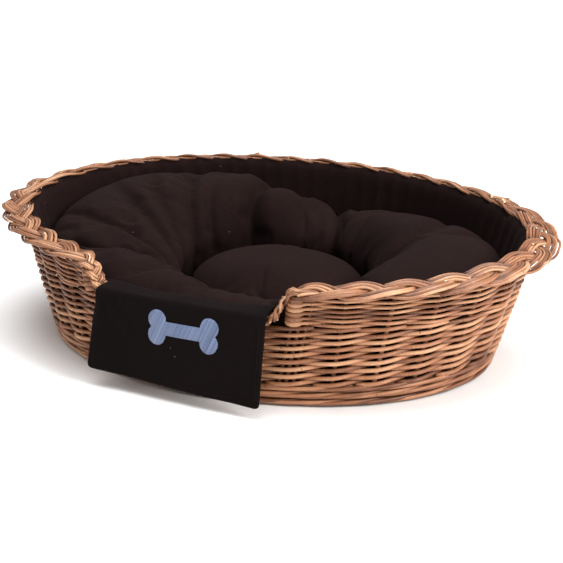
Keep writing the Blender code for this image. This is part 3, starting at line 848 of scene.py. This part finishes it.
def fabric(name, deep, raised, thread_scale, roughness=0.86):
    """Dark cotton twill: fine slanting ribs, a soft sheen, faintly worn patches and specks of lint."""
    nodes = Nodes(name, roughness, sheen=0.02, specular=0.07)
    nodes.shader.inputs["Sheen Roughness"].default_value = 0.45
    nodes.shader.inputs["Sheen Tint"].default_value = (0.62, 0.45, 0.42, 1.0)
    place = nodes.place()
    turned = nodes.add("ShaderNodeMapping")
    turned.inputs["Rotation"].default_value = (0.35, 0.6, 0.78)
    nodes.link(place, turned.inputs["Vector"])
    ribs = nodes.add("ShaderNodeTexWave", Scale=thread_scale, Distortion=0.6, Detail=1.0)
    nodes.link(turned.outputs["Vector"], ribs.inputs["Vector"])
    worn = nodes.noise(place, 7.0, 4.0, 0.6)
    mottle = nodes.noise(place, 95.0, 3.0, 0.6)
    rib = ribs.outputs["Fac"]
    value = nodes.total((worn, 0.55), (mottle, 0.30), (rib, 0.15))
    colour = nodes.ramp(value, ((0.30, deep), (0.75, raised)))
    picked = nodes.math("GREATER_THAN", nodes.noise(place, 21.0, 1.0), 0.62)
    lint = nodes.math("MULTIPLY", nodes.specks(place, 62.0, 0.055), picked)
    colour = nodes.mix(nodes.math("MULTIPLY", lint, 0.5), colour, (0.20, 0.17, 0.16))
    nodes.link(colour, nodes.shader.inputs["Base Color"])
    nodes.bump(nodes.total((rib, 0.5), (mottle, 0.5)), 0.0004, 0.45)
    return nodes.material


TWILL = fabric("brown_twill", (0.0082, 0.0035, 0.0034), (0.0162, 0.0071, 0.0069), 520.0)
# painted shade: a darker copy of the twill for the flap, which hangs out of the light
SHADED_FLAP_TWILL = fabric("flap_twill_painted_shade", (0.0030, 0.0018, 0.0017), (0.0066, 0.0038, 0.0036), 520.0)
THREAD_DARK = fabric("brown_thread", (0.010, 0.006, 0.006), (0.030, 0.018, 0.017), 900.0, 0.7)


def grid_faces(rows, columns, wrap_rows=False, wrap_columns=False, start=0):
    """Four-cornered faces of a grid of points, which may close on itself either way."""
    index = np.arange(rows * columns).reshape(rows, columns) + start
    if wrap_rows:
        index = np.vstack([index, index[:1]])
    if wrap_columns:
        index = np.hstack([index, index[:, :1]])
    corner_rows = [index[:-1, :-1], index[:-1, 1:], index[1:, 1:], index[1:, :-1]]
    return np.stack(corner_rows, axis=-1).reshape(-1, 4)


def cloth_plate(name, front, back, material):
    """A closed piece of cloth between two equal grids of points, one for each side."""
    rows, columns = front.shape[:2]
    total = rows * columns
    points = np.concatenate([front.reshape(-1, 3), back.reshape(-1, 3)])
    faces = [grid_faces(rows, columns)[:, ::-1], grid_faces(rows, columns, start=total)]
    index = np.arange(total).reshape(rows, columns)
    rim = np.concatenate([index[0, :-1], index[:-1, -1], index[-1, :0:-1], index[:0:-1, 0]])
    after = np.roll(rim, -1)
    faces.append(np.stack([rim, after, after + total, rim + total], axis=-1))
    return mesh_object(name, points, np.concatenate(faces), material)


# ---------------------------------------------------------------- the liner

CLOTH = 0.0020
LINER_OUTWARD = LINER_BOX[1][0] - wall(0.0, LINER_BOX[1][2])[0]
RIM_HALF_WIDTH = 0.0215               # from the middle of the rim's plait to where the cloth goes up under it
LINER_TUCK = 0.0004
LINER_LEAN = 0.0060                   # its top edge leans out this far under the plait
GATHER = 0.030                        # distance from one gather of the cloth to the next
GATHER_DEPTH = (0.0004, 0.0026)       # at the bottom, and this much more at the top
SEAM_ANGLES = (0.30, 2.62)            # of the two upright seams
SEAM_RADIUS = 0.36                    # turns an angle at the seams into a distance


def liner_top(angle):
    """Top edge of the liner: tucked under the rim, and down at the sill across the entrance."""
    high = rim_z(angle) + RIM_HALF_WIDTH * np.sin(rim_tilt(angle)) - LINER_TUCK
    low = corners("sill_cover")[0][2]
    x = np.abs(wall(angle, 0.095)[..., 0])
    across = smooth_step(x, 0.153, 0.171)
    return np.where(np.sin(angle) > 0, high, low + (high - low) * across)


def make_liner():
    """The cloth inside the wall, gathered along its top edge, with two upright seams."""
    columns, rows = 560, 16
    angle = np.linspace(0, TURN, columns, endpoint=False)
    length = lengths(wall(angle, 0.15))
    drift = wander(columns, 24, 0.9, 801)
    pleat = 0.5 + 0.5 * np.cos(TURN * length / GATHER + drift)
    size = 0.35 + 0.65 * np.abs(wander(columns, 17, 1.0, 802))
    share = np.linspace(0, 1, rows)[:, None]
    top = liner_top(angle)[None, :]
    z = CUSHION_FLOOR + (top - CUSHION_FLOOR) * share
    fold = (pleat ** 2 * size)[None, :] * (GATHER_DEPTH[0] + GATHER_DEPTH[1] * share ** 2)
    billow = wander(columns, 60, 0.0012, 803)[None, :] * np.sin(math.pi * share)
    for place in SEAM_ANGLES:
        apart = np.angle(np.exp(1j * (angle - place))) * SEAM_RADIUS
        ridge = 0.0014 * np.exp(-(apart / 0.0035) ** 2)
        groove = 0.0010 * np.exp(-((apart - 0.005) / 0.0025) ** 2)
        fold = fold + (ridge - groove)
    inward = LINER_OUTWARD - 0.0002 - fold - np.abs(billow)
    inward = inward + LINER_LEAN * smooth_step(z, top - 0.014, top) * (np.sin(angle) > -0.75)
    inside = wall(angle[None, :], z, inward - CLOTH)
    outside = wall(angle[None, :], z, inward)
    points = np.concatenate([inside.reshape(-1, 3), outside.reshape(-1, 3)])
    total = rows * columns
    faces = [grid_faces(rows, columns, wrap_columns=True),
             grid_faces(rows, columns, wrap_columns=True, start=total)[:, ::-1]]
    index = np.arange(total).reshape(rows, columns)
    for line, flip in ((index[0], True), (index[-1], False)):
        after = np.roll(line, -1)
        band = np.stack([line, after, after + total, line + total], axis=-1)
        faces.append(band[:, ::-1] if flip else band)
    liner = mesh_object("liner_cloth", points, np.concatenate(faces)[:, ::-1], TWILL)
    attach(liner, "basket")
    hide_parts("liner")


make_liner()


# ---------------------------------------------------------------- the flap

MOTIF_BOX = corners("flap_motif")
FLAP_BOTTOM_Z = 0.022
FLAP_BOTTOM_Y = -0.3025
FLAP_HALF_WIDTH = 0.1365              # at the sill
FLAP_FLARE = 0.0045                   # and this much more at the bottom
TOP_GAP = 0.0012                      # between the sill's solids and the middle of the cloth
SIDE_BOW = 0.0055                     # its sides at the sill are this much further back than its middle
FLAP_TURN = math.radians(2.4)         # it hangs a little askew: its left bottom corner is the higher one
SHOULDER_Z = HINGE[2] - 0.012         # below this the flap hangs, above it it bends over the sill
# small folds that spread from the upper corners: place along the sill and depth
CORNER_FOLDS = ((-0.128, 0.0016), (0.130, 0.0008))
HEM = 0.010
STITCH_INSET = HEM - 0.0022           # from the edge to the line of stitches
STITCH = 0.0024
STITCH_STEP = 0.0034
FLAP_HALF_THICKNESS = 0.0009
FLAP_CORNER = 0.007


def flap_y(x, z):
    """How far forward the hanging cloth is: it leaves the wall as it goes down, and ripples."""
    share = (HINGE[2] - z) / (HINGE[2] - FLAP_BOTTOM_Z)
    top = HINGE[1] + TOP_GAP + SIDE_BOW * (x / 0.136) ** 2
    bottom = FLAP_BOTTOM_Y - 0.0010 * x / 0.14
    y = top * (1 - share) + bottom * share
    ripple = 0.0011 * np.sin(x / 0.034 + 0.8) + 0.0005 * np.sin(x / 0.0135 + 2.1 + 2.0 * share)
    y = y - ripple * smooth_step(share, 0.10, 0.9)
    for corner_x, strength in CORNER_FOLDS:
        away = np.hypot(x - corner_x, z - (HINGE[2] - 0.006))
        turn = np.arctan2(HINGE[2] - z, np.abs(x - corner_x) + 1e-6)
        y = y - strength * np.sin(turn * 9) * np.exp(-away / 0.050) * smooth_step(away, 0.006, 0.022)
    return y


def flap_grid():
    """The middle surface of the flap's cloth, from inside the sill over the top and down the front."""
    columns = 97
    hanging_rows = 64
    across = np.linspace(-1, 1, columns)
    cover = corners("sill_cover")
    top_z = cover[1][2] + TOP_GAP
    x = across * 0.1272
    sill_angle = np.array([front_angle(value, SILL_Z) for value in x])
    inner = wall(sill_angle, SILL_Z, LINER_OUTWARD - CLOTH * 1.8)[:, 1]
    front = HINGE[1] + TOP_GAP + SIDE_BOW * across ** 2
    shoulder_front = flap_y(across * FLAP_HALF_WIDTH, SHOULDER_Z)
    dip = 0.0012 * np.cos(across * 7.0) - 0.0010
    # how far forward, how high and half how wide the cloth is at places on its way over the sill
    stations = [(inner, top_z - 0.034, 0.1275),
                (inner, top_z - 0.020, 0.1280),
                (inner + 0.0004, top_z - 0.006, 0.1290),
                (inner - 0.003, top_z + dip, 0.1310),
                (inner * 0.7 + front * 0.3, top_z + dip + 0.0006, 0.1330),
                (inner * 0.35 + front * 0.65, top_z + dip * 0.7, 0.1350),
                (front + 0.003, top_z - 0.0010, 0.1365),
                (front - 0.0006, top_z - 0.0060, 0.1370),
                (shoulder_front, SHOULDER_Z, FLAP_HALF_WIDTH)]
    rows = []
    for y, z, half in stations:
        z = np.broadcast_to(z, across.shape)
        rows.append(np.stack([across * half, y, z], axis=-1))
    rows = np.array(rows)
    knots = np.linspace(0, 1, len(rows))
    fine = np.linspace(0, 1, 40)
    curve = np.stack([[np.interp(fine, knots, rows[:, c, k]) for k in range(3)] for c in range(columns)])
    curve = curve.transpose(2, 0, 1)
    for _ in range(6):
        curve[1:-1] = 0.25 * curve[:-2] + 0.5 * curve[1:-1] + 0.25 * curve[2:]
    hanging = []
    for k in range(1, hanging_rows + 1):
        share = k / hanging_rows
        z = SHOULDER_Z + (FLAP_BOTTOM_Z - SHOULDER_Z) * share
        half = FLAP_HALF_WIDTH + FLAP_FLARE * share
        rounding = max(0.0, 1 - (z - FLAP_BOTTOM_Z) / FLAP_CORNER)
        half = half - FLAP_CORNER * (1 - math.sqrt(max(0.0, 1 - rounding ** 2)))
        drop = HINGE[2] - z
        turn = FLAP_TURN * smooth_step(drop, 0.010, 0.055)
        x = across * half
        z = HINGE[2] - drop * math.cos(turn) - x * math.sin(turn)
        x = x * math.cos(turn) - drop * math.sin(turn)
        hanging.append(np.stack([x, flap_y(x, z), z], axis=-1))
    return np.concatenate([curve, np.array(hanging)])


def offset_grid(grid, distance):
    """A grid of points moved along its own normals, by one distance or one for each point."""
    down = np.gradient(grid, axis=0)
    along = np.gradient(grid, axis=1)
    normal = unit(np.cross(down, along))
    return grid + normal * np.asarray(distance)[..., None]


def make_flap():
    """The flap with its turned hem, its stitching and its motif."""
    grid = flap_grid()
    rows, columns = grid.shape[:2]
    down = np.linalg.norm(np.diff(grid, axis=0), axis=-1)
    from_bottom = np.flip(np.concatenate([np.zeros((1, columns)), np.cumsum(down[::-1], axis=0)]), axis=0)
    side = np.linalg.norm(np.diff(grid, axis=1), axis=-1)
    left = np.concatenate([np.zeros((rows, 1)), np.cumsum(side, axis=1)], axis=1)
    from_side = np.minimum(left, left[:, -1:] - left)
    edge = np.minimum(from_bottom, from_side)
    hanging = smooth_step(HINGE[2] - 0.004 - grid[..., 2], 0.0, 0.010)
    hem = (1 - smooth_step(edge, HEM - 0.001, HEM + 0.0015)) * hanging
    groove = np.exp(-((edge - HEM + 0.0022) / 0.0011) ** 2) * hanging
    half = FLAP_HALF_THICKNESS + 0.0006 * hem - 0.0004 * groove
    half = half * np.sqrt(np.clip(edge / 0.0012, 0.25, 1))
    front = offset_grid(grid, half)
    back = offset_grid(grid, -half)
    # the flap's cloth has the darker twill with painted shade
    flap = cloth_plate("entrance_flap", front, back, SHADED_FLAP_TWILL)
    facing = front[rows - 20, columns // 2] - back[rows - 20, columns // 2]
    if facing[1] > 0:
        raise ValueError("the flap's front faces the basket")
    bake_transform(flap)
    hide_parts("sill_cover", "front_flap")
    make_stitches(grid, half, from_bottom)
    make_motif()


def make_stitches(grid, half, from_bottom):
    """The small stitches that hold the hem, down both sides and along the bottom."""
    stitches = Rods(6)
    front = offset_grid(grid, half + 0.00012)
    rows, columns = front.shape[:2]
    routes = []
    for side in (0, 1):
        line = []
        for row in range(rows):
            if grid[row, 0, 2] > SHOULDER_Z or from_bottom[row, columns // 2] < STITCH_INSET:
                continue
            x = front[row, :, 0]
            goal = x[0] + STITCH_INSET if side == 0 else x[-1] - STITCH_INSET
            line.append([goal, np.interp(goal, x, front[row, :, 1]), np.interp(goal, x, front[row, :, 2])])
        routes.append(np.array(line))
    bottom = front[int(np.argmin(np.abs(from_bottom[:, columns // 2] - STITCH_INSET)))]
    keep = (bottom[:, 0] > routes[0][-1][0]) & (bottom[:, 0] < routes[1][-1][0])
    routes.append(bottom[keep])
    for line in routes:
        length = lengths(line)
        start = 0.001
        while start + STITCH < length[-1]:
            path = at_lengths(np.linspace(start, start + STITCH, 4), length, line)
            path[1:-1, 1] -= 0.0002
            stitches.add(path, [0.00014, 0.00024, 0.00024, 0.00014], (0, -1, 0.1), 0.5)
            start += STITCH_STEP
    made = stitches.mesh("flap_stitches", THREAD_DARK)
    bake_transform(made)
    return made


def satin_thread():
    """Shiny slate blue embroidery thread, each stitch a little lighter or darker."""
    nodes = Nodes("blue_thread", 0.38, sheen=0.25, specular=0.55)
    tone = nodes.field("tone")
    place = nodes.place()
    strand = nodes.noise(place, 900.0, 2.0)
    value = nodes.total((tone, 0.6), (strand, 0.5))
    colour = nodes.ramp(value, ((0.15, (0.062, 0.088, 0.185)),
                                (0.55, (0.120, 0.165, 0.300)),
                                (0.95, (0.230, 0.290, 0.430))))
    nodes.link(colour, nodes.shader.inputs["Base Color"])
    nodes.bump(strand, 0.0002, 0.6)
    return nodes.material


KNOB = 0.56                           # the bone's knobs against half its height
BAR = 0.0095                          # half the width of the bone between them
SATIN_SLOPE = math.radians(66)
SATIN_SPACING = 0.00072
SATIN_RADIUS = 0.00042
SHORTEST_STITCH = 0.0016
SATIN_RISE = 0.0010                   # the stitches arch this high over the cloth


def make_motif():
    """A plain bone embroidered in raised, slanting satin stitches."""
    low, high = MOTIF_BOX
    centre_x, _, centre_z = (low + high) / 2
    half_length = (high[0] - low[0]) / 2
    half_height = (high[2] - low[2]) / 2
    knob = half_height * KNOB

    def inside(x, z):
        """Whether places are on the bone: on its bar or on one of its four knobs."""
        hit = (np.abs(x) < half_length - knob) & (np.abs(z) < BAR)
        for sx in (-1, 1):
            for sz in (-1, 1):
                hit |= np.hypot(x - sx * (half_length - knob), z - sz * (half_height - knob)) < knob
        return hit

    thread = Rods(6)
    direction = np.array([math.cos(SATIN_SLOPE), math.sin(SATIN_SLOPE)])
    normal = np.array([-direction[1], direction[0]])
    reach = half_length + half_height
    along = np.linspace(-reach, reach, 900)
    for k in range(int(-reach / SATIN_SPACING), int(reach / SATIN_SPACING) + 1):
        shift = k * SATIN_SPACING * normal
        line = along[:, None] * direction + shift
        hit = inside(line[:, 0], line[:, 1])
        edges = np.flatnonzero(np.diff(np.concatenate([[0], hit.astype(int), [0]])))
        for start, end in zip(edges[::2], edges[1::2]):
            first, last = along[start], along[min(end, len(along) - 1)]
            if last - first < SHORTEST_STITCH:
                continue
            place = np.linspace(first - 0.0003, last + 0.0003, 7)
            flat = place[:, None] * direction + shift
            arch = SATIN_RISE * np.sin(np.linspace(0.12, math.pi - 0.12, 7)) ** 0.5
            x = flat[:, 0] + centre_x
            z = flat[:, 1] + centre_z
            y = flap_y(x, z) - FLAP_HALF_THICKNESS - arch + 0.0002
            thread.add(np.stack([x, y, z], axis=-1), SATIN_RADIUS, (0, -1, 0.05), RANDOM.uniform())
    made = thread.mesh("flap_bone", satin_thread())
    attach(made, "flap")
    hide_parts("flap_motif")
    return made


make_flap()


# ---------------------------------------------------------------- the cushions

PAD_BOX = corners("pad_cover")
HOLE_X = (PAD_BOX[0][0] + PAD_BOX[1][0]) / 2
PAD_HALF = (PAD_BOX[1] - PAD_BOX[0])[:2] / 2
HOLE = PAD_HALF + 0.0145              # the ring's hole is this much wider than the pad
WALL_GAP = 0.0145                     # from the stakes' middles to the cushion
UNDERSIDE = CUSHION_FLOOR + 0.0006
# the top of the ring cushion round the oval: angle in degrees and height; the entrance is at 270
RING_TOPS = ((0, 0.172), (20, 0.181), (40, 0.180), (58, 0.169), (76, 0.162), (90, 0.162), (102, 0.184),
             (116, 0.206), (138, 0.207), (158, 0.203), (176, 0.190), (192, 0.178), (206, 0.168), (220, 0.162),
             (236, 0.152), (252, 0.142), (266, 0.132), (284, 0.128), (300, 0.130), (320, 0.146), (342, 0.164))
# how far the ring cushion bulges in over the pad
RING_BULGES = ((0, 0.0), (30, 0.002), (67, 0.012), (100, 0.011), (124, 0.006), (150, 0.007), (176, 0.009),
               (200, 0.006), (224, 0.002), (250, 0.002), (280, 0.002), (320, 0.0))
# creases: angles at the inner and the outer edge, depth, width, and where across they start and end (-1 to 1)
CREASES = (
    (129, 99, 0.030, 0.0085, -2.0, 2.0), (74, 90, 0.024, 0.0075, -2.0, 2.0),
    (4, 57, 0.019, 0.0095, -2.0, 0.6), (228, 214, 0.020, 0.0110, -2.0, 2.0),
    (262, 263, 0.013, 0.0080, -2.0, 0.1), (284, 294, 0.013, 0.0080, -0.6, 0.6),
    (330, 316, 0.014, 0.0100, -2.0, 0.9),
    (172, 118, 0.0180, 0.0080, -2.0, 0.70), (158, 112, 0.0095, 0.0065, -2.0, 0.45),
    (206, 152, 0.0140, 0.0075, -2.0, 0.50), (222, 184, 0.0140, 0.0080, -2.0, 0.70),
    (192, 136, 0.0105, 0.0065, -2.0, 0.25), (215, 202, 0.0095, 0.0065, 0.2, 0.95),
    (214, 186, 0.0080, 0.0060, 0.1, 1.0),
    (355, 24, 0.0120, 0.0085, -2.0, 0.70), (4, 34, 0.0095, 0.0070, -0.3, 0.75),
    (348, 8, 0.0080, 0.0070, -1.0, 0.6),
    (240, 248, 0.0055, 0.0065, -2.0, 0.4), (97, 96, 0.0030, 0.0060, -2.0, -0.4),
    (58, 72, 0.0040, 0.0065, -2.0, -0.3),
)
# dimples: place along and across the basket, depth and width; a negative depth is a bump
DIMPLES = ((-0.042, 0.158, 0.0026, 0.0060),
           (-0.006, 0.118, 0.0022, 0.0060),
           (-0.300, -0.040, -0.0080, 0.0110))


def around(table, degrees):
    """A smooth value round the oval from (degrees, value) pairs."""
    place = np.array([row[0] for row in table] + [360.0])
    value = np.array([row[1] for row in table] + [table[0][1]])
    fine = np.interp(np.arange(720) / 2, place, value)
    fine = soften(fine[:, None], 7)[:, 0]
    return np.interp(np.mod(degrees, 360), np.arange(721) / 2, np.append(fine, fine[0]))


RING_SQUARE = (0.86, 0.90)            # the section is this much squarer than an oval, across and upward
RING_FLAT = 0.94                      # and cut flat below this share of its half height
BULGE_Z = 0.125                       # the ring bulges in over the pad most at this height
BULGE_SPREAD = 0.040


def ring_surface(columns, rows):
    """Points round the ring cushion: columns round the oval and rows round its section."""
    degrees = np.linspace(0, 360, columns, endpoint=False)
    angle = np.radians(degrees)[:, None]
    turn = np.linspace(-math.pi / 2, 1.5 * math.pi, rows, endpoint=False)[None, :]
    c, s = np.cos(turn), np.sin(turn)
    top = around(RING_TOPS, degrees)[:, None]
    middle_z = (top + UNDERSIDE) / 2
    outer = wall(angle, middle_z, -WALL_GAP)
    hole = [HOLE_X + HOLE[0] * np.cos(angle), HOLE[1] * np.sin(angle), middle_z]
    inner = np.concatenate(hole, axis=1)[:, None]
    centre = (outer + inner) / 2
    half = (outer - inner) / 2
    half_width = np.linalg.norm(half, axis=-1, keepdims=True)
    across = unit(half)
    cx = np.sign(c) * np.abs(c) ** RING_SQUARE[0]
    sz = np.sign(s) * np.abs(s) ** RING_SQUARE[1]
    z = (top - UNDERSIDE) / 2 * np.where(sz < 0, np.maximum(sz, -RING_FLAT) / RING_FLAT, sz)
    lean = wall(angle, middle_z + z)[..., :2] - wall(angle, middle_z + 0 * z)[..., :2]
    points = centre + across * (half_width * cx[..., None])
    points = points + np.concatenate([lean * (1 + c[..., None]) / 2, z[..., None]], axis=-1)
    inside = np.clip(-c, 0, 1) ** 1.2
    level = np.exp(-((points[..., 2] - BULGE_Z) / BULGE_SPREAD) ** 2)
    points = points - across * (around(RING_BULGES, degrees)[:, None] * inside * level)[..., None]
    return degrees, turn, points, centre


def crease_depth(degrees, turn, radius):
    """How far in the cloth is drawn along each crease, and how firmly it is held there."""
    c = np.cos(turn)
    high = 0.30 + 0.70 * smooth_step(np.sin(turn), -0.9, 0.1)
    depth = np.zeros((len(degrees), turn.shape[1]))
    held = np.zeros_like(depth)
    for inner, outer, deep, width, first, last in CREASES:
        bend = 0.10 * (outer - inner) * (1 - c ** 2)
        centre = inner + (outer - inner) * (1 + c) / 2 + bend
        apart = np.radians((degrees[:, None] - centre + 180) % 360 - 180) * radius
        fade = smooth_step(last - c, 0.0, 0.7) * smooth_step(c - first, 0.0, 0.5) * high
        sharp = np.exp(-np.sqrt((apart / width) ** 2 + 0.08)) * 1.32
        soft = np.exp(-(apart / (1.25 * width)) ** 2)
        valley = sharp if deep > 0.016 else 0.5 * sharp + 0.5 * soft
        depth += deep * fade * valley
        held = np.maximum(held, fade * np.exp(-(apart / (0.55 * width)) ** 2) * min(1.0, deep / 0.012))
    return depth, held


def ring_normals(points):
    """Normals of a grid that closes on itself both ways."""
    along = np.roll(points, -1, axis=0) - np.roll(points, 1, axis=0)
    across = np.roll(points, -1, axis=1) - np.roll(points, 1, axis=1)
    return unit(np.cross(along, across))


PUFF_FRAMES = 18


def positions(mesh):
    """The places of a mesh's points."""
    points = np.empty(len(mesh.vertices) * 3)
    mesh.vertices.foreach_get("co", points)
    return points.reshape(-1, 3)


def evaluated(made):
    """An object as its modifiers leave it."""
    return made.evaluated_get(bpy.context.evaluated_depsgraph_get())


def puff(made, held, pressure, cap, grow):
    """Blow a cover up with cloth simulation. Held points stay, and no point moves further than the cap."""
    before = positions(made.data)
    group = made.vertex_groups.new(name="held")
    for level in range(1, 11):
        chosen = np.flatnonzero(np.round(held * 10).astype(int) == level)
        if len(chosen):
            group.add(chosen.tolist(), level / 10, "REPLACE")
    cloth = made.modifiers.new("cloth", "CLOTH")
    cloth.point_cache.frame_end = PUFF_FRAMES
    settings = cloth.settings
    settings.quality = 5
    settings.mass = 0.3
    settings.tension_stiffness = 12
    settings.compression_stiffness = 5
    settings.shear_stiffness = 4
    settings.bending_stiffness = 0.25
    settings.shrink_min = -grow
    settings.vertex_group_mass = "held"
    settings.use_pressure = True
    settings.uniform_pressure_force = pressure
    settings.effector_weights.gravity = 0
    cloth.collision_settings.use_collision = False
    for frame_number in range(1, PUFF_FRAMES + 1):
        bpy.context.scene.frame_set(frame_number)
    move = positions(evaluated(made).data) - before
    made.modifiers.remove(cloth)
    made.vertex_groups.remove(group)
    size = np.linalg.norm(move, axis=1, keepdims=True)
    move = move * np.minimum(1, cap * np.tanh(size / cap) / np.maximum(size, 1e-9))
    made.data.vertices.foreach_set("co", (before + move).ravel())
    made.data.update()
    bpy.context.scene.frame_set(1)


def smoothed(made):
    """Apply one round of subdivision."""
    made.modifiers.new("finer", "SUBSURF").levels = 1
    finer = bpy.data.meshes.new_from_object(evaluated(made))
    made.modifiers.clear()
    made.data = finer
    finer.shade_smooth()


def make_ring():
    """The ring cushion: puffed lobes between deep creases, with folds drawn to its inner edge."""
    columns, rows = 330, 56
    degrees, turn, points, centre = ring_surface(columns, rows)
    depth, held = crease_depth(degrees, turn, np.hypot(points[..., 0], points[..., 1]))
    normal = ring_normals(points)
    normal = normal * np.sign(np.sum(normal * (points - centre), axis=-1).mean())
    points = points - normal * depth[..., None]
    for x, y, deep, wide in DIMPLES:
        away = (points[..., 0] - x) ** 2 + (points[..., 1] - y) ** 2
        points[..., 2] -= deep * np.exp(-away / wide ** 2) * (np.sin(turn) > 0)
    points[..., 2] = np.maximum(points[..., 2], UNDERSIDE)
    faces = grid_faces(columns, rows, wrap_rows=True, wrap_columns=True)
    ring = mesh_object("ring_cushion", points.reshape(-1, 3), faces, TWILL)
    close_up(ring)
    c, s = np.cos(turn), np.sin(turn)
    under = np.maximum(smooth_step(-s, 0.35, 0.75), 0.75 * smooth_step(c, 0.80, 0.98))
    puff(ring, np.maximum(held, under).ravel(), pressure=3.5, cap=0.013, grow=0.05)
    points = positions(ring.data)
    points[:, 2] = np.maximum(points[:, 2], UNDERSIDE)
    ring.data.vertices.foreach_set("co", points.ravel())
    smoothed(ring)
    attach(ring, "bolster")
    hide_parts("bolster_cover", "bolster_filling")


PAD_SEAM = 0.50                       # the height of its seam as a share of the pad's
PUCKERS = 34


def make_pad():
    """The round pad in the middle: flat underneath, crowned on top, with puckers at its seam."""
    columns, rows = 150, 44
    angle = np.linspace(0, TURN, columns, endpoint=False)[None, :]
    profile = np.linspace(0.02, math.pi - 0.02, rows)[:, None]
    low = PAD_BOX[0][2] + 0.0006
    top = PAD_BOX[1][2] + 0.005
    reach = np.sin(profile) ** 0.66
    rise = (1 - np.cos(profile)) / 2
    rise = np.where(rise < 0.5, 0.5 * (2 * rise) ** 1.5, 1 - 0.5 * (2 * (1 - rise)) ** 1.05)
    near_seam = np.exp(-((rise - PAD_SEAM) / 0.13) ** 2)
    pucker = np.cos(PUCKERS * angle + 1.7 * np.sin(5 * angle)) * near_seam
    size = (1 - 0.008 * pucker) * (1 - 0.016 * np.exp(-((rise - PAD_SEAM) / 0.025) ** 2))
    x = HOLE_X + (PAD_HALF[0] - 0.001) * reach * size * np.cos(angle)
    y = (PAD_HALF[1] - 0.001) * reach * size * np.sin(angle)
    z = np.broadcast_to(low + (top - low) * rise, x.shape)
    points = np.stack([x, y, z], axis=-1)
    faces = grid_faces(rows, columns, wrap_columns=True)
    pad = mesh_object("centre_pad", points.reshape(-1, 3), faces, TWILL)
    close_up(pad)
    held = np.maximum(smooth_step(0.16 - rise, 0.0, 0.05), np.exp(-((rise - PAD_SEAM) / 0.03) ** 2))
    held = np.broadcast_to(held, x.shape).ravel()
    puff(pad, held, pressure=2.5, cap=0.010, grow=0.04)
    smoothed(pad)
    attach(pad, "pad")
    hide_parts("pad_cover", "pad_filling")


def close_up(made):
    """Close the open ends of a mesh, if it has any, and turn all its faces outward."""
    bm = bmesh.new()
    bm.from_mesh(made.data)
    bmesh.ops.holes_fill(bm, edges=bm.edges)
    ends = [face for face in bm.faces if len(face.verts) > 4]
    bmesh.ops.poke(bm, faces=ends)
    bmesh.ops.recalc_face_normals(bm, faces=bm.faces)
    bm.to_mesh(made.data)
    bm.free()
    made.data.shade_smooth()


make_ring()
make_pad()


# ---------------------------------------------------------------- camera, floor and light

AZIMUTH = math.radians(25.67)
ELEVATION = math.radians(19.32)
DISTANCE = 2.087
LENS = 83.57
TARGET_RIGHT = 0.022
TARGET_UP = 0.087
FLOOR_RADIUS = 9.0
SKY_LEFT = 0.34                       # the sky's brightness at its left edge and at its right edge
SKY_RIGHT = 0.92
KEY_PLACE = (1.95, -0.50, 1.45)
KEY_TARGET = (0, 0, 0.1)
KEY_POWER = 44                        # watts
KEY_SIZE = 0.9
KEY_COLOUR = (1.0, 0.98, 0.95)
SUN_STRENGTH = 2.3
SUN_ANGLE = math.radians(40)
SUN_DIRECTION = (0.04, -0.04, -1.0)


def aim(thing, direction):
    """Point a camera or a light along a direction."""
    thing.rotation_mode = "QUATERNION"
    thing.rotation_quaternion = direction.to_track_quat("-Z", "Y")


def make_camera():
    """The camera at the height and side that the basket is seen from."""
    back = Vector((math.sin(AZIMUTH) * math.cos(ELEVATION), -math.cos(AZIMUTH) * math.cos(ELEVATION),
                   math.sin(ELEVATION)))
    right = Vector((math.cos(AZIMUTH), math.sin(AZIMUTH), 0))
    target = right * TARGET_RIGHT + Vector((0, 0, TARGET_UP))
    data = bpy.data.cameras.new("camera")
    data.lens = LENS
    data.sensor_width = 36.0
    data.clip_end = 50
    camera = add_object("camera", data)
    camera.location = target + back * DISTANCE
    aim(camera, -back)
    bpy.context.scene.camera = camera


def make_floor():
    """A large pale floor."""
    bm = bmesh.new()
    bmesh.ops.create_circle(bm, cap_ends=True, segments=96, radius=FLOOR_RADIUS)
    mesh = bpy.data.meshes.new("floor")
    bm.to_mesh(mesh)
    bm.free()
    floor = add_object("floor", mesh)
    floor.location.z = CAD_BOX[0].z - 0.0005
    nodes = Nodes("floor_paint", 0.9, specular=0.1)
    place = nodes.place()
    colour = nodes.mix(nodes.noise(place, 3.0), (0.93, 0.93, 0.93), (0.95, 0.95, 0.95))
    nodes.link(colour, nodes.shader.inputs["Base Color"])
    floor.data.materials.append(nodes.material)


def make_lights():
    """A white sky that is brighter on the right, and a large soft light at the right."""
    world = bpy.data.worlds.new("studio")
    world.use_nodes = True
    background = world.node_tree.nodes["Background"]
    nodes, links = world.node_tree.nodes, world.node_tree.links
    direction = nodes.new("ShaderNodeTexCoord")
    split = nodes.new("ShaderNodeSeparateXYZ")
    brightness = nodes.new("ShaderNodeMapRange")
    brightness.inputs["From Min"].default_value = -1.0
    brightness.inputs["To Min"].default_value = SKY_LEFT
    brightness.inputs["To Max"].default_value = SKY_RIGHT
    links.new(direction.outputs["Generated"], split.inputs["Vector"])
    links.new(split.outputs["X"], brightness.inputs["Value"])
    links.new(brightness.outputs["Result"], background.inputs["Strength"])
    background.inputs["Color"].default_value = (1.0, 1.0, 1.0, 1.0)
    bpy.context.scene.world = world
    data = bpy.data.lights.new("key_light", "AREA")
    data.energy = KEY_POWER
    data.size = KEY_SIZE
    data.color = KEY_COLOUR
    light = add_object("key_light", data)
    light.location = KEY_PLACE
    aim(light, Vector(KEY_TARGET) - light.location)


def make_sun():
    """Even soft light from overhead, which keeps the whole floor white."""
    data = bpy.data.lights.new("studio_sun", "SUN")
    data.energy = SUN_STRENGTH
    data.angle = SUN_ANGLE
    aim(add_object("studio_sun", data), Vector(SUN_DIRECTION))


make_camera()
make_floor()
make_lights()
make_sun()
bpy.context.scene.view_settings.view_transform = "Standard"
